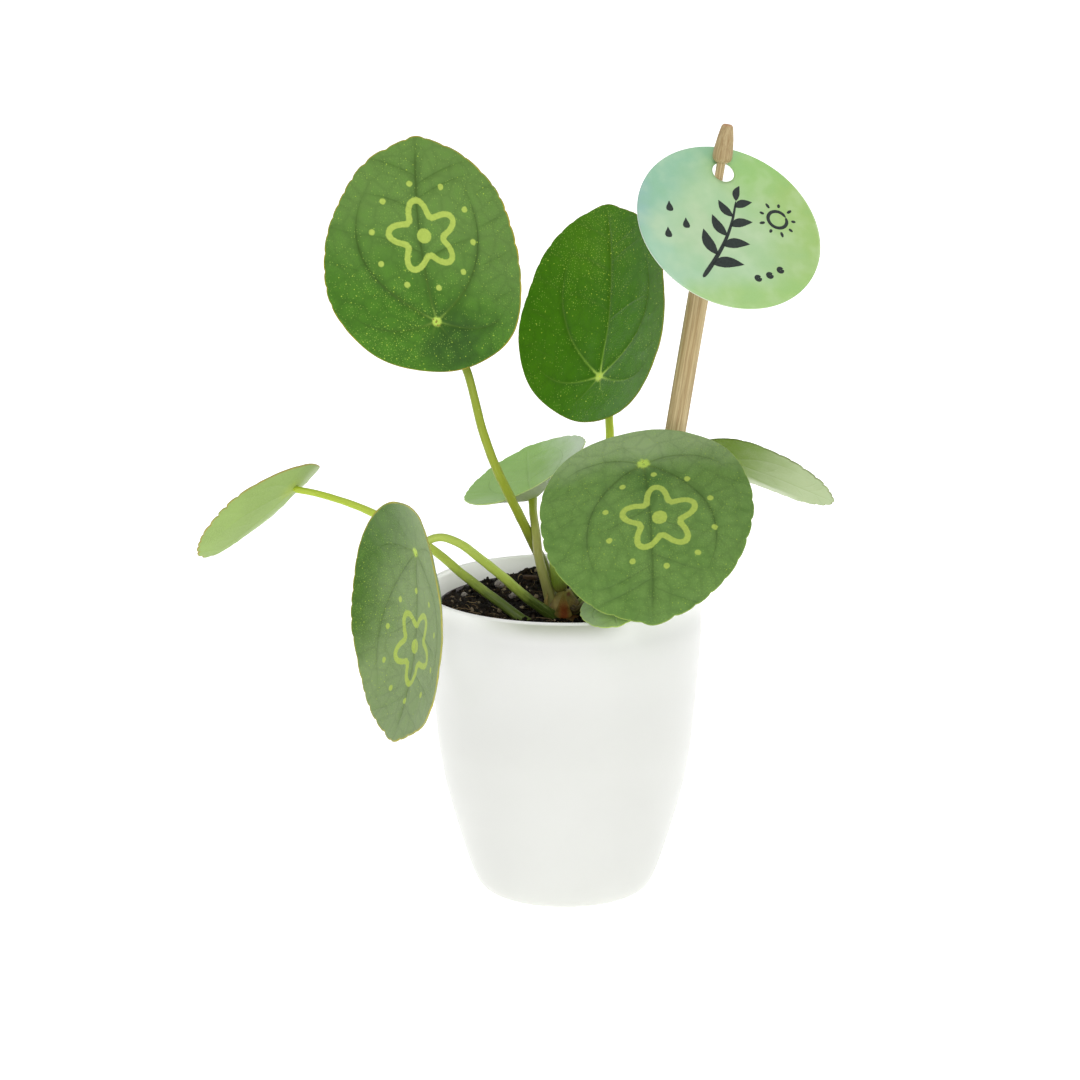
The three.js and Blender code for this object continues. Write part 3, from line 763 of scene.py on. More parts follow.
def makeStalk(key, stalk, leaf):
    # a round section carried along the line: its radius tapers, swells at both ends and has shallow ribs
    angle, height = stalk["from"]
    under = -facing(*leaf["facing"])[2]
    joint, seat = np.array(leaf["at"]), blade["thickness"] / 2
    foot = [onTrunk(angle, height + up, away) for up, away in stalkShape["foot"]]
    if stalk["sunk"]:
        foot = [onTrunk(angle, height - stalk["sunk"], stalkShape["sunkFoot"])]
    neck = [] if stalk["straight"] else [joint + under * (seat + stalkShape["neckLength"])]
    rows = stalkShape["rows"]
    points = [*foot, *stalk["way"], *neck, joint + under * (seat - stalkShape["inBlade"])]
    line, length = throughPoints(points, rows)
    share = np.linspace(0, 1, rows)
    (footFlare, footReach), (headFlare, headReach) = stalkShape["footFlare"], stalkShape["headFlare"]
    flare = (1 + footFlare * np.exp(-share * length / footReach)
             + headFlare * np.exp(-(1 - share) * length / headReach))
    thick, thin = stalk["radii"]
    closed = np.concatenate([[0, 0.55], np.ones(rows - 4), [0.55, 0]])
    turn = turns(stalkShape["around"])
    ribs = 1 + 0.035 * np.cos(5 * turn) + 0.02 * np.cos(2 * turn + 1)
    radius = ((thick + (thin - thick) * share) * flare * closed)[:, None] * ribs

    tangent = unit(np.gradient(line, axis=0))
    first = unit(np.cross(tangent, stalkShape["across"]))
    second = np.cross(tangent, first)
    section = first[:, None] * np.cos(turn)[:, None] + second[:, None] * np.sin(turn)[:, None]
    tube = line[:, None] + section * radius[..., None]
    bump, size = stalkShape["bump"]
    tube += bump * valueNoise(tube, size, leaf["seed"])[..., None] * closed[:, None, None]
    attributes = {"stalkPlace": spin(thick, share * length, len(turn)), "stalkShare": share[:, None]}
    material = stalkMaterial("stalk " + key, *stalk["colours"])
    settle(gridObject("stalk." + key, tube, material, attributes), "petiole", "petiole_" + key)


for key, stalk in stalks.items():
    makeStalk(key, {**plainStalk, **stalk}, leaves[key])
print("leaf stalks made")


# trunk, its dry scales and the shoot tip
def trunkMaterial():
    made, place = newMaterial("trunk")
    x, _, height = splitUp(place)
    bark, patches, streaks = mottle(place, 1.6, 2.2), mottle(place, 4.2, 2.4), fibre(place, 0.5, 4.0)
    redSpot = soft(distance(x - 0.9, height - 77.9) + streaks * 0.6, 1.1, 0.5)
    colour = layered(
        blend(bark, (74, 56, 24), (140, 120, 62)),
        # painted light: the left side of the trunk paler
        (soft(x, 0.5, -2.6) * 0.6, (172, 156, 98)),
        (soft(patches, 0.55, 0.9) * soft(height, 76.0, 73.0) * 0.6, (112, 54, 26)),
        (soft(height, 75.6, 78.4) * 0.5, (140, 138, 60)),
        (redSpot * 0.8, (92, 26, 12)),
        (soft(streaks, 0.55, 0.8) * 0.4, (158, 138, 94)),
    )
    return finished(made, colour, bark * 0.3 + 0.5, 0.3, bark * 0.6 + streaks * 0.5, 0.3)


def makeTrunk():
    # the turned profile with the ring ridges that fallen leaves left: radius + ridge * |sin(height)|
    radius, level = np.array(trunk["profile"]).T
    foot, top = level[0], level[-1]
    height = np.concatenate([np.full(4, foot), np.linspace(foot, top, trunk["rows"]), np.full(5, top)])
    reach = np.interp(height, level, radius)
    reach[:4] *= np.linspace(0, 0.9, 4)
    reach[-5:] *= np.linspace(0.9, 0, 5)
    ridges = trunk["ridge"] * np.abs(np.sin(height * 1.35)) * soft(height, 60, 66)
    grid = spin(reach + ridges * (reach > 1.2), height, trunk["around"])
    bumps = sum(rise * valueNoise(grid, size, seed) for rise, size, seed in trunk["bumps"])
    grid[..., :2] *= (1 + bumps * np.clip(reach / 2, 0, 1)[:, None] / 4)[..., None]
    settle(gridObject("trunk", grid, trunkMaterial()), "stem", "main_stem")


scales = {
    "stipule_1": {"angle": 265, "height": 73.4, "length": 7.2, "stain": 0.9},
    "stipule_2": {"angle": 198, "height": 73.8, "length": 6, "stain": 0.1},
}
scaleShape = {"rows": 26, "around": 24, "halfWidth": 2.9, "below": 1.2, "lean": 8, "away": 0.72}


def scaleMaterial(name, stain):
    made, place = newMaterial("dry " + name, "scalePlace")
    streaks = fibre(place, 0.25, 3.0)
    aside, along, _ = splitUp(place)
    blotch = soft(along + streaks * 2.0, 6.2, 2.0) * soft(abs(aside + 0.2) + streaks * 0.9, 2.6, 0.8)
    colour = layered(
        blend(streaks, (112, 100, 34), (168, 152, 78)),
        # painted shade darkening one side of the scale
        (soft(aside, 0.4, 2.2) * 0.6, (70, 58, 24)),
        (blotch * stain, (140, 62, 22)),
        (soft(abs(aside), 2.1, 2.8) * 0.4, (186, 172, 112)),
    )
    return finished(made, colour, streaks * 0.3 + 0.5, 0.25, streaks, 0.12)


def makeScale(name, scale):
    # a pointed sheet hugging the trunk: half width = w * (5 s)^0.5 near its foot, narrowing straight to the
    # tip, its two skins joined along the sides
    share = np.linspace(0, 1, scaleShape["rows"])[:, None]
    around = turns(scaleShape["around"])
    halfWidth = scaleShape["halfWidth"] * np.minimum(1, 5 * share) ** 0.5 * (1 - share) ** 1.05 + 1e-4
    side = halfWidth * np.cos(around)
    ahead = share * scale["length"] - scaleShape["below"] + 0 * side
    curl = 0.25 * side ** 2 + 0.03 * ahead ** 2
    wrinkle = 0.06 * np.sin(side * 9) + 0.08 * np.sin(ahead * 2.2)
    out = 0.13 * np.sin(around) * np.minimum(1, halfWidth) + wrinkle - curl * 0.6 + 0.05 * ahead ** 2
    foot = onTrunk(scale["angle"], scale["height"], scaleShape["away"])
    grid = pointsAt(side, ahead, out) @ facing(scale["angle"] - 90, scaleShape["lean"], 0) + foot
    attributes = {"scalePlace": pointsAt(side, ahead, ahead)}
    material = scaleMaterial(name, scale["stain"])
    settle(gridObject(name.replace("_", "."), grid, material, attributes), "stipule", name)


bud = {
    "radius": 1.85, "length": 8.6, "lean": 23, "left": 0.6, "sunk": 0.5, "fold": 0.13,
    "rows": 40, "around": 40,
    "colours": ((124, 118, 54), (134, 158, 54), (160, 184, 76), (0.03, 0.38)),
}


def makeBud():
    # a drop: radius = r * sin(pi s^0.55)^0.75 leaning a little, with the fold of the young leaf around it
    share = np.linspace(0, 1, bud["rows"])
    reach = bud["radius"] * np.sin(np.pi * share ** 0.55) ** 0.75 * (1 - 0.25 * share)
    x, y, z = np.moveaxis(spin(reach, share * bud["length"], bud["around"]), -1, 0)
    fold = 1 + bud["fold"] * np.cos(np.arctan2(y, x) * 2 + share[:, None] * 4)
    x, z = turned(x * fold, z, math.radians(bud["lean"]))
    grid = pointsAt(x - bud["left"], y * fold, z + trunk["profile"][-1][1] - bud["sunk"])
    material = stalkMaterial("shoot tip", *bud["colours"])
    attributes = {"stalkPlace": grid, "stalkShare": share[:, None]}
    settle(gridObject("shootTip", grid, material, attributes), "petiole", "shoot_bud")


makeTrunk()
for name, scale in scales.items():
    makeScale(name, scale)
makeBud()
print("trunk made")


# pots; their profiles are radius and height
coverPot = {
    "outside": ((0, 0), (10, 0), (19.6, 0), (20.7, 0.18), (21.7, 0.9), (22.5, 1.95), (23.35, 3.6), (24.3, 6),
                (25.4, 9.2), (27.2, 15), (29.2, 22), (30.9, 29), (32.6, 39), (33.75, 52), (34.6, 62),
                (34.95, 68), (34.98, 71), (34.9, 74), (34.95, 75.8), (35.25, 77.2), (35.75, 78.4),
                (35.98, 79.05), (35.9, 79.38)),
    "inside": ((35.62, 79.5), (35.3, 79.42), (35.12, 79.1), (34.8, 78), (34.3, 75.5), (33.6, 66), (32.3, 52),
               (29.4, 29), (25.7, 15), (22.6, 6.6), (21.2, 4), (19.4, 2.5), (16.5, 2.2), (8, 2.2), (0, 2.2)),
    "rows": 190, "around": 192, "rounding": 0.35,
}
nurseryPot = {
    "outside": ((0, 3.5), (8, 3.5), (16, 3.5), (16.6, 2.55), (18.4, 2.5), (19, 2.9), (31.5, 68.9),
                (32.7, 69.1), (33.2, 69.6), (33.2, 74.6), (33, 75)),
    "inside": ((32.6, 75), (32.4, 74.6), (32.4, 70.3), (30.8, 69), (18.6, 4.6), (17.8, 4.3), (8, 4.3),
               (0, 4.3)),
    "rows": 150, "around": 144, "rounding": 0.25,
    "holes": 6, "holeRadius": 2.4, "holeRing": 11.5, "holeFrom": 0.5, "holeTo": 7, "holeSides": 28,
}


def roundedProfile(points, count, rounding):
    # straight stretches between the points, each corner softened by averaging over a short way
    along = wayAlong(points)
    want = np.linspace(0, along[-1], count)[:, None]
    spread = np.clip(want + np.linspace(-rounding, rounding, 9), 0, along[-1])
    return np.array([np.interp(spread, along, column).mean(1) for column in np.transpose(points)])


def potGrid(pot):
    radius, height = roundedProfile(pot["outside"] + pot["inside"], pot["rows"], pot["rounding"])
    radius[[0, -1]] = 0
    return spin(radius, height, pot["around"])


def coverPotMaterial():
    # painted light: whiter towards the top, most at its sides, and on the inner wall below the rim; a painted
    # shade under the lip in front
    made, place = newMaterial("white pot")
    x, y, height = splitUp(place)
    patches, grain = mottle(place, 26.0, 1.2), mottle(place, 0.5, 1.4)
    outside = attributeOf(place.tree, "outerWall") * soft(height, 79.42, 79.2)
    # where the painted light on the outer wall is strongest: the pot's left and right sides
    paintedSideLight = soft(x, 6.0, 18.0) * soft(height, 71.0, 76.0) + soft(x, -12.0, -28.0)
    # where the painted shade under the lip lies: the front middle of the pot
    paintedShadeInFront = soft(x, -27.0, -7.0) * soft(x, 18.0, 4.0) * soft(y, -10.0, -30.0)
    colour = layered(
        blend(patches, (220, 221, 216), (215, 216, 211)),
        (specks(place, 5.0, 0.05, 0.35) * 0.45, (176, 170, 158)),
        (soft(height, 3.0, 0.0) * patches * 0.25, (196, 198, 186)),
        # painted light on the upper outer wall, strongest at the sides
        (soft(height, 44.0, 76.0) * outside * (paintedSideLight * 0.6 + 0.3), (243, 244, 239)),
        # painted shade under the lip in front
        (soft(height, 73.2, 78.6) * paintedShadeInFront * outside * 0.9, (142, 147, 129)),
        # painted light on the inner wall below the rim
        ((1.0 - outside) * soft(height, 74.0, 79.3) * 0.9, (248, 249, 244)),
    )
    litThrough = {"Subsurface Weight": 0.5, "Subsurface Radius": (1.0, 1.0, 0.96), "Subsurface Scale": 0.004}
    return finished(made, colour, grain * 0.08 + patches * 0.06 + 0.24, 0.5, grain, 0.012, litThrough)


def nurseryMaterial():
    made, place = newMaterial("grower's pot")
    scuffs, soilDust = mottle(place, 3.0, 2.0), specks(place, 1.4, 0.22, 0.8)
    colour = layered(blend(scuffs, (58, 50, 56), (92, 84, 88)), (soilDust * 0.7, (44, 34, 26)))
    return finished(made, colour, scuffs * 0.25 + 0.42, 0.4, scuffs + soilDust, 0.05)


def makeCoverPot():
    grid = potGrid(coverPot)
    outer = np.arange(len(grid))[:, None] < grid[:, 0, 2].argmax()
    settle(gridObject("coverPot", grid, coverPotMaterial(), {"outerWall": outer}), "cover_pot", "cover_pot")


def makeNurseryPot():
    # the turned shell, then its drain holes cut through the floor
    piece = gridObject("growersPot", potGrid(nurseryPot), nurseryMaterial())
    radius, low, high = nurseryPot["holeRadius"], nurseryPot["holeFrom"], nurseryPot["holeTo"]
    drum = spin([0, radius, radius, 0], [low, low, high, high], nurseryPot["holeSides"])
    for reach, angle in [(0, 0), *[(nurseryPot["holeRing"], angle) for angle in turns(nurseryPot["holes"])]]:
        cutter = gridObject("cutter", drum + (*turned(reach, 0, angle), 0), piece.data.materials[0])
        cut = piece.modifiers.new("hole", "BOOLEAN")
        cut.operation, cut.object, cut.solver = "DIFFERENCE", cutter, "EXACT"
        seen = piece.evaluated_get(bpy.context.evaluated_depsgraph_get())
        holed = bpy.data.meshes.new_from_object(seen)
        piece.modifiers.clear()
        piece.data = holed
        bpy.data.objects.remove(cutter)
    settle(piece, "nursery_pot", "nursery_pot")


makeCoverPot()
makeNurseryPot()
print("pots made")


# soil and what lies on it
soil = {
    "middle": 72, "edgeRise": 1.3, "slope": 0.02, "span": 32.6,
    "humps": ((-8, 27, 2.6, 8), (-32, 3, 1.6, 8)),  # place, rise and spread
    "rows": 110, "around": 260, "edge": 32.2, "dip": 0.6, "dipFrom": 30.5, "dipTo": 32,
    "side": ((31.9, 70.6), (30.4, 68.4), (17.4, 4.9), (0, 4.9)),  # radius and height down to the pot's floor
    "lumps": ((0.75, 3.2, 1), (0.5, 1.3, 2)), "fineLump": (0.24, 0.6, 3),  # height, size and seed
}
crumbs = {
    "count": 2300, "reach": 31.6, "edge": 32, "smallest": 0.26, "range": 0.75, "stretch": (0.5, 1.25),
    "push": (0.72, 1.15), "tilt": 0.6, "sunk": 0.25, "seed": 7,
    "clear": ((0, 0, 4.6), (20.4, 5, 2.9)),  # none around the trunk and the stick: place and radius
}
fibres = {"count": 150, "reach": 29.5, "inside": 31, "length": (1.5, 4), "width": (0.05, 0.09), "bend": 0.35,
          "lift": 0.3, "arch": 0.35, "seed": 11, "taper": (0.05, 0.7, 1, 1, 1, 1, 0.7, 0.05)}
grains = (  # perlite: place, size and turn
    ((-17, 18.5), 1.5, 20), ((-13.6, 11.5), 1.1, 75), ((-18, 6.5), 0.9, 130), ((-26, 9), 0.8, 10),
    ((12, 21), 1.3, 50), ((24, -14), 1.2, 160), ((-8, -21), 1, 95),
)
chips = (  # bark: place, size each way and turn
    ((-22, 15), (4.2, 1.8, 1.2), 35), ((-9, 22), (3.6, 2, 1.1), -20),
    ((17, 15.5), (4.4, 2.2, 1.3), 70), ((-20, -17), (4, 2, 1.2), 120),
)
grainRise, chipGap = 0.72, 0.3  # a grain's middle over the bed, in sizes; and a chip's underside, in mm


def soilHeight(x, y):
    # the CAD surface: a slow rise to the edge, a slope, and two bell-shaped heaps
    height = soil["middle"] + soil["slope"] * (y - x)
    height = height + soil["edgeRise"] * (np.hypot(x, y) / soil["span"]) ** 2
    for middleX, middleY, rise, spread in soil["humps"]:
        height = height + rise * np.exp(-0.5 * ((x - middleX) ** 2 + (y - middleY) ** 2) / spread ** 2)
    return height


def soilBed(x, y, dip):
    # the CAD surface + two sizes of noise, a little lower along the pot
    lumps = sum(rise * valueNoise(pointsAt(x, y), size, seed) for rise, size, seed in soil["lumps"])
    return soilHeight(x, y) + lumps - dip * soft(np.hypot(x, y), soil["dipFrom"], soil["dipTo"])


def soilMaterial(name, dark, brown, pale):
    made, place = newMaterial(name)
    shade = attributeOf(place.tree, "crumbShade")
    grain, patches, bits = mottle(place, 0.6, 2.0), mottle(place, 3.0, 2.2), specks(place, 1.1, 0.14, 0.5)
    colour = layered(
        blend(soft(grain * 0.5 + patches * 0.5, 0.4, 0.9) * 0.7, dark, brown),
        (soft(shade, 0.7, 0.95) * 0.7, brown),
        (soft(shade, 0.86, 0.95) * 0.85, pale),
        (bits * 0.6, (150, 128, 100)),
    )
    return finished(made, colour, grain * 0.25 + 0.7, 0.15, grain + bits * 0.4, 0.35)


def makeSoil(material):
    # the bed with a third size of noise; below it a plain root ball down to the pot's floor
    sideReach, sideHeight = np.array(soil["side"]).T
    reach = np.concatenate([np.linspace(0, soil["edge"], soil["rows"]), sideReach])[:, None]
    x, y = turned(reach, 0, turns(soil["around"]))
    rise, size, seed = soil["fineLump"]
    z = soilBed(x, y, soil["dip"]) + rise * valueNoise(pointsAt(x, y), size, seed)
    z[soil["rows"]:] = sideHeight[:, None]
    shade = {"crumbShade": valueNoise(pointsAt(x, y), 1.1, 9) * 0.35 + 0.4}
    settle(gridObject("soil", pointsAt(x, y, z), material, shade), "soil", "potting_soil")


def roundedLump():
    # a small ball of 20 faces: the corners of three golden rectangles, each joined to those 2 away from it
    golden = (1 + 5 ** 0.5) / 2
    flat = [(x, y, 0) for y in (golden, -golden) for x in (-1, 1)]
    corners = np.vstack([np.roll(flat, i, 1) for i in range(3)])
    near = np.linalg.norm(corners[:, None] - corners, axis=-1) < 2.1
    faces = np.array(list(combinations(range(12), 3)))
    faces = faces[near[faces, np.roll(faces, 1, 1)].all(1)]
    inward = np.linalg.det(corners[faces]) < 0
    faces[inward] = faces[inward][:, ::-1]
    return unit(corners), faces


def scattered(draw, count, reach):
    # places spread evenly over a round surface
    reach = reach * np.sqrt(draw.rand(count))
    return turned(reach, 0, draw.rand(count) * 2 * np.pi)


def makeCrumbs(material):
    # each crumb is a lump with its corners pushed about, stretched, turned and laid on the soil
    draw = np.random.RandomState(crumbs["seed"])
    x, y = scattered(draw, crumbs["count"], crumbs["reach"])
    size = crumbs["smallest"] + crumbs["range"] * draw.rand(crumbs["count"]) ** 3
    keep = np.hypot(x, y) + size < crumbs["edge"]
    for middleX, middleY, radius in crumbs["clear"]:
        keep &= np.hypot(x - middleX, y - middleY) > radius
    x, y, size = x[keep], y[keep], size[keep]
    count = len(x)
    lump, faces = roundedLump()
    corners = len(lump)
    stretch = size[:, None, None] * draw.uniform(*crumbs["stretch"], (count, 1, 3))
    points = lump * stretch * draw.uniform(*crumbs["push"], (count, corners, 1))
    angle = draw.rand(count) * 2 * np.pi
    tilt = draw.uniform(-crumbs["tilt"], crumbs["tilt"], count)
    px, py, pz = np.moveaxis(points, -1, 0)
    px, pz = turned(px, pz, tilt[:, None])
    px, py = turned(px, py, angle[:, None])
    bed = soilBed(x, y, soil["dip"]) + size * crumbs["sunk"]
    points = pointsAt(px + x[:, None], py + y[:, None], pz + bed[:, None])
    faces = (faces + corners * np.arange(count)[:, None, None]).reshape(-1, 3)
    shade = {"crumbShade": np.repeat(draw.rand(count), corners)}
    settle(meshObject("soilCrumbs", points.reshape(-1, 3), faces, material, shade, False), "soil")


def makeFibres(material):
    # thin bent roots: three-sided tubes along a parabola, narrow at both ends
    draw = np.random.RandomState(fibres["seed"])
    count = fibres["count"]
    x, y = scattered(draw, count, fibres["reach"])
    length = fibres["length"][0] + fibres["length"][1] * draw.rand(count)
    heading = draw.rand(count) * 2 * np.pi
    bend = draw.uniform(-fibres["bend"], fibres["bend"], count)
    width = fibres["width"][0] + fibres["width"][1] * draw.rand(count)
    share = np.linspace(-0.5, 0.5, len(fibres["taper"]))
    aside = (bend * length)[:, None] * (share ** 2 * 4 - 0.5)
    awayX, awayY = turned(length[:, None] * share, aside, heading[:, None])
    x, y = x[:, None] + awayX, y[:, None] + awayY
    inside = np.minimum(1, fibres["inside"] / np.maximum(np.hypot(x, y), 1e-6))
    x, y = x * inside, y * inside
    z = soilBed(x, y, 0) + fibres["lift"] + fibres["arch"] * (1 - 4 * share ** 2)
    section = turns(3)
    radius = width[:, None, None] * np.array(fibres["taper"])[:, None]
    acrossX, acrossY = turned(0, radius * np.cos(section), heading[:, None, None])
    tubes = pointsAt(x, y, z)[..., None, :] + pointsAt(acrossX, acrossY, radius * np.sin(section))
    shade = {"crumbShade": np.repeat(draw.uniform(0.8, 1, count), tubes[0].size // 3)}
    settle(tubesObject("soilFibres", tubes, material, shade, True), "soil")


def ballGrid(rows, columns):
    rise = np.linspace(-np.pi / 2, np.pi / 2, rows)
    return spin(np.cos(rise), np.sin(rise), columns)


def chipGrid(sizes, seed):
    # a rounded block: each direction of a ball is taken to the power 0.5, which squares it, then pushed by
    # two sizes of noise
    ball = ballGrid(22, 32)
    block = np.sign(ball) * np.abs(ball) ** 0.5 * np.array(sizes) / 2
    push = 1 + 0.12 * valueNoise(block, 0.9, seed) + 0.06 * valueNoise(block, 0.9 / 2.4, seed + 1)
    return block * push[..., None]


def stoneGrid(size, seed):
    # an angular grain: in each direction the reach is that of the nearest of many random cutting planes,
    # which stand 0.6 to 1 from the middle
    draw = np.random.default_rng(seed)
    planes = unit(draw.normal(size=(14, 3)))
    ball = ballGrid(30, 44)
    toPlane = draw.uniform(0.6, 1, 14) / np.maximum(ball @ planes.T, 0.05)
    reach = np.minimum(toPlane.min(-1), 1.15)
    block = ball * reach[..., None] * (size, 0.85 * size, 0.78 * size)
    return block * (1 + 0.07 * valueNoise(block, 0.35, seed))[..., None]


def layOnSoil(name, grid, place, turn, lift, material, slot):
    x, y, z = np.moveaxis(grid, -1, 0)
    grid = pointsAt(*turned(x, y, math.radians(turn)), z) + (*place, soilHeight(*place) + lift)
    settle(gridObject(name.replace("_", "."), grid, material), slot, name)


def grainMaterial():
    made, place = newMaterial("pale grain")
    pits, dirt = mottle(place, 0.4, 2.4), mottle(place, 1.2, 2.6)
    dirt = soft(dirt, 0.5, 0.95) * 0.8
    colour = layered(blend(pits, (122, 112, 108), (192, 184, 178)), (dirt, (70, 56, 46)))
    return finished(made, colour, pits * 0.2 + 0.7, 0.3, pits, 0.18)


def barkMaterial():
    made, place = newMaterial("bark chip")
    layers, patches = fibre(place, 2.0, 0.25), mottle(place, 1.1, 2.0)
    colour = layered(blend(layers, (34, 24, 17), (92, 68, 47)), (patches * 0.4, (52, 38, 28)))
    return finished(made, colour, patches * 0.2 + 0.68, 0.2, layers, 0.25)


peat = soilMaterial("peat", (17, 13, 10), (66, 50, 34), (158, 142, 118))
makeSoil(peat)
makeCrumbs(peat)
makeFibres(soilMaterial("root", (38, 28, 20), (88, 69, 47), (150, 128, 96)))
paleGrain, barkChip = grainMaterial(), barkMaterial()
for i, (place, size, turn) in enumerate(grains, 1):
    stone = stoneGrid(size, int(size * 10))
    layOnSoil(f"perlite_{i}", stone, place, turn, grainRise * size, paleGrain, "perlite")
for i, (place, sizes, turn) in enumerate(chips, 1):
    chip = chipGrid(sizes, int(sizes[0] * 10))
    layOnSoil(f"bark_chip_{i}", chip, place, turn, sizes[2] / 2 + chipGap, barkChip, "bark")
print("soil made")


# stick; its rod and top are radius and the way along it from the card's place, then rows and rounding
stick = {
    "neck": (38.6, 5, 185.3), "lean": 9, "around": 56, "flattened": 0.012,
    "rod": (((0, -154), (0.8, -154), (2.65, -146), (2.65, -3.6)), 90, 0.2),
    "top": (((2.65, -3.6), (2.25, -3), (1.1, -3.02), (1.1, 2.6), (1.6, 2.6), (2.3, 3.2), (2.5, 4),
             (2.45, 5.6), (2.08, 8.6), (1.72, 10.6), (1.45, 11.8), (1.05, 12.25), (0, 12.3)), 130, 0.16),
}


def woodMaterial():
    made, place = newMaterial("turned wood", "woodPlace")
    height = splitUp(place)[2]
    streaks, pores, patches = fibre(place, 0.55, 26.0), fibre(place, 0.2, 6.0), mottle(place, 7.0, 1.6)
    colour = layered(
        blend(soft(streaks, 0.32, 0.66), (160, 137, 94), (204, 187, 144)),
        (soft(pores, 0.54, 0.66) * 0.6, (128, 102, 64)),
        (patches * 0.3, (186, 158, 112)),
        (soft(height, 2.4, 3.8) * 0.3, (152, 122, 82)),  # a darker head
        (soft(height, 11.6, 12.2) * 0.45, (196, 140, 104)),  # and its end grain
    )
    return finished(made, colour, streaks * 0.2 + 0.52, 0.3, streaks * 0.6 + pores * 0.6, 0.1)


def makeStick():
    # the profile turned, a little flattened on three sides, then leant to the right
    radius, height = np.hstack([roundedProfile(*stick["rod"])[:, :-1], roundedProfile(*stick["top"])])
    radius[[0, -1]] = 0
    place = spin(radius, height, stick["around"])
    x, y, z = np.moveaxis(place, -1, 0)
    flattened = 1 + stick["flattened"] * np.cos(3 * np.arctan2(y, x) + z * 0.05)
    x, z = turned(x * flattened, z, -math.radians(stick["lean"]))
    grid = pointsAt(x, y * flattened, z) + stick["neck"]
    settle(gridObject("tagStick", grid, woodMaterial(), {"woodPlace": place}), "stick", "tag_stick")


makeStick()
print("stick made")


# card; on it y is 0 at the hole, and goes down to the far edge
card = {
    "radius": 24.2, "thickness": 0.4, "holeRadius": 2.9, "holeOffset": 16.6, "slack": 0.9,
    "facing": (24.5, 42.5, 13), "sag": 0.15, "rows": 34, "around": 200,
}
ink = {
    "lift": 0.03, "sunk": 0.05,
    "stem": ((-8.5, -33), (-5, -27.5), (-1.5, -21), (1, -14.5), (2.5, -8.5)), "stemRows": 80,
    "stemWidths": (1.3, 1.1, 0.9, 0.7, 0.5), "leavesAt": (0.2, 0.32, 0.45, 0.57, 0.7, 0.82, 0.93),
    "leafTurn": 52, "leafLength": (9.6, 4.6), "leafWidth": (3.5, 1.3),  # at the foot, and lost on the way up
    "tipLeaf": (74, 5, 1.9),  # heading, length and width
    "sun": (13.2, -12.6), "sunRing": (2.5, 0.9), "rays": 9, "rayFrom": 3.7, "rayTo": (4.9, 5.3),
    "drops": ((-15.5, -13), (-11.5, -17.5), (-16.5, -21)), "dropWidths": (0.12, 0.7, 1.5, 1.9, 1.5),
    "dots": ((6.2, -31.2), (9.4, -29.9), (12.4, -27.9)), "dotRing": (0.52, 1.0),  # radius and line width
}


def cardPlace(x, y, lift):
    # the card's own side, up and out, with its far edge hanging back a little: out = lift - sag (y / reach)^2
    out = lift - card["sag"] * (y / (card["holeOffset"] + card["radius"])) ** 2
    return pointsAt(x, y, out) @ facing(*card["facing"]) + (card["slack"], 0, 0) + stick["neck"]


def cardMaterial():
    # washes of watercolour on the front, plain white behind
    made, place = newMaterial("printed card", "cardPlace")
    x, y, _ = splitUp(place)
    cloud, streaks, grain = noiseAt(place, 11.0, 2.0), noiseAt(place, 7.0, 2.0), mottle(place, 0.5, 1.5)
    wash = noiseAt(moved(place, (40.0, 9.0, 0.0)), 15.0, 3.0)
    tilt = (x * 0.82 + y * 0.2) / card["radius"] + (cloud - 0.5) * 0.55
    bright = soft((y + 14.0) / 14.0 - abs(x - 6.0) / 22.0 + (wash - 0.5) * 0.8, 0.1, 0.95)
    pale = soft(wash * 1.3 - abs(y + 19.0) / 22.0 - abs(x + 6.0) / 30.0, 0.0, 0.5)
    teal = soft((y + 10.0) / 18.0 - x / 20.0 + (wash - 0.5), 0.45, 1.2)
    blue = soft((cloud - 0.5) * 2.0 - x / 9.0, 2.0, 2.8) * soft(y, -27.0, -13.0)
    low = soft((-30.0 - y) / 9.0 + (wash - 0.5) * 1.2 + x / 40.0, 0.0, 0.9)
    front = layered(
        blend(soft(tilt, -1.2, -0.3), (160, 204, 178), (174, 208, 162)),
        (soft(tilt, -0.25, 0.75), (160, 196, 108)),
        (bright * 0.75, (148, 198, 108)),
        (pale * 0.6, (184, 208, 166)),
        (teal * 0.75, (138, 192, 164)),
        (blue * 0.6, (146, 186, 186)),
        (low * 0.7, (158, 200, 104)),
        (soft(streaks, 0.46, 0.7) * 0.2, (210, 228, 190)),
        (soft(streaks, 0.52, 0.32) * 0.14, (126, 186, 118)),
        (grain * 0.06, (238, 246, 226)),
    )
    white = blend(grain * 0.5, (244, 244, 238), (234, 234, 226))
    colour = blend(attributeOf(place.tree, "cardFront"), white, front)
    return finished(made, colour, 0.42, 0.4, grain, 0.01)


def makeCard():
    # rows run from the hole's edge to the outer edge on the front, and back on the rear
    turn = turns(card["around"])
    share = np.linspace(0, 1, card["rows"])
    rows = np.concatenate([share, share[::-1]])[:, None]
    isFront = np.arange(len(rows))[:, None] < card["rows"]
    reach = (1 - rows) * card["holeRadius"] + rows * card["radius"]
    x, y = reach * np.sin(turn), reach * np.cos(turn) - rows * card["holeOffset"]
    rounding = 1 - 0.12 * (np.abs(rows - 0.5) > 0.499)
    grid = cardPlace(x, y, np.where(isFront, 0.5, -0.5) * card["thickness"] * rounding)
    attributes = {"cardPlace": pointsAt(x, y), "cardFront": isFront}
    settle(gridObject("careCard", grid, cardMaterial(), attributes, ring=True), "tag", "care_tag")


def inkMaterial():
    made, place = newMaterial("dark ink")
    dry = mottle(place, 0.5, 2.0)
    return finished(made, blend(dry, (26, 34, 32), (48, 58, 54)), dry * 0.2 + 0.4, 0.35, dry, 0.01)


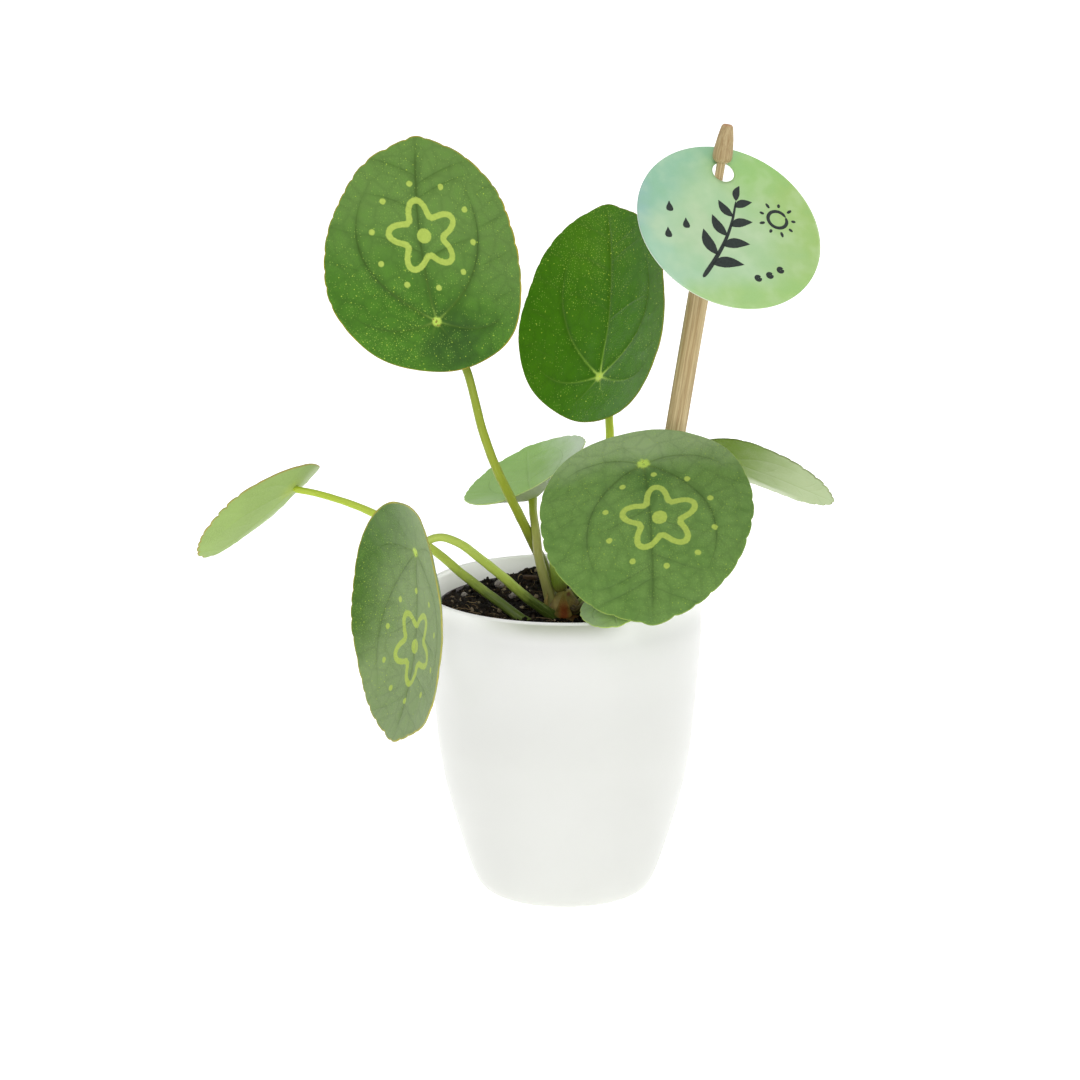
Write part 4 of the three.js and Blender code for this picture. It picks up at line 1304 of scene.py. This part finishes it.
def brushStroke(points, widths, rows=44):
    # a flat ribbon carried along a smooth line on the card, its width following the brush, closed all round
    line, _ = throughPoints(points, rows)
    width = np.interp(np.linspace(0, 1, rows), np.linspace(0, 1, len(widths)), widths) / 2
    width = width * np.sqrt(np.clip(1 - np.linspace(-1, 1, rows) ** 12, 0.002, 1))
    ahead = unit(np.gradient(line, axis=0))
    across = np.stack([-ahead[:, 1], ahead[:, 0]], -1) * width[:, None]
    x, y = np.moveaxis(line[:, None] + across[:, None] * np.array([-1, 1, 1, -1])[:, None], -1, 0)
    down, up = card["thickness"] / 2 - ink["sunk"], card["thickness"] / 2 + ink["lift"]
    return cardPlace(x, y, np.array([down, down, up, up]))


def leafStroke(base, heading, length, width):
    # one leaf of the drawn sprig: a stroke that swells and comes to a point
    points = [base + np.array(turned(length * along, length * aside, math.radians(heading)))
              for along, aside in ((0, 0), (0.5, 0.08), (1, 0))]
    return brushStroke(points, [0.25, width * 0.62, width * 0.95, width, width * 0.8, width * 0.45, 0.12])


def ringStroke(middle, radius, width):
    angle = np.linspace(0, 2 * np.pi, 13) + 0.4
    return brushStroke(np.transpose(turned(radius, 0, angle)) + middle, [width] * 3)


def sprigStrokes():
    # a leafy sprig, a sun with rays and falling drops: plain signs for a plant that wants light and water
    rows = ink["stemRows"]
    strokes = [brushStroke(ink["stem"], ink["stemWidths"], rows)]
    line, _ = throughPoints(ink["stem"], rows)
    for i, share in enumerate(ink["leavesAt"]):
        at = int(share * (rows - 1))
        ahead = line[min(rows - 1, at + 3)] - line[at]
        heading = math.degrees(math.atan2(ahead[1], ahead[0])) + ink["leafTurn"] * (1 if i % 2 else -1)
        length, width = (first - lost * share for first, lost in (ink["leafLength"], ink["leafWidth"]))
        strokes.append(leafStroke(line[at], heading, length, width))
    strokes.append(leafStroke(line[-1], *ink["tipLeaf"]))
    strokes.append(ringStroke(ink["sun"], *ink["sunRing"]))
    for i, angle in enumerate(turns(ink["rays"])):
        reach = np.linspace(ink["rayFrom"], ink["rayTo"][i % 2], 3)
        strokes.append(brushStroke(np.transpose(turned(reach, 0, angle)) + ink["sun"], [0.5, 0.85, 0.4], 14))
    for x, y in ink["drops"]:
        strokes.append(brushStroke([(x, y + 1.9), (x, y + 0.4), (x, y - 1.2)], ink["dropWidths"], 30))
    for dot in ink["dots"]:
        strokes.append(ringStroke(dot, *ink["dotRing"]))
    return strokes


makeCard()
settle(tubesObject("cardInk", sprigStrokes(), inkMaterial(), {}, False), "tag")
print("card made")


# floor and sky, a lit white sweep
studio = {"skyStrength": 0.47, "floorMetres": 24, "floorLight": 0.9, "floorGlow": 0.6}


def makeFloor():
    half = studio["floorMetres"] / 2 / mm
    corners = np.array([(-half, -half, 0), (half, -half, 0), (half, half, 0), (-half, half, 0)])
    made, place = newMaterial("pale floor")
    pale, dim = ((share, share, share, 1.0) for share in (studio["floorLight"], 0.97 * studio["floorLight"]))
    glow = {"Emission Color": (1, 1, 1, 1), "Emission Strength": studio["floorGlow"]}
    finished(made, blend(noiseAt(place, 60.0, 2.0) * 0.02, pale, dim), 0.75, 0.2, more=glow)
    meshObject("floor", corners, np.array([[0, 1, 2, 3]]), made, {})


def makeSky():
    world = bpy.data.worlds.new("sky")
    world.use_nodes = True
    background = world.node_tree.nodes["Background"]
    background.inputs["Color"].default_value = (1, 1, 1, 1)
    background.inputs["Strength"].default_value = studio["skyStrength"]
    bpy.context.scene.world = world


makeFloor()
makeSky()
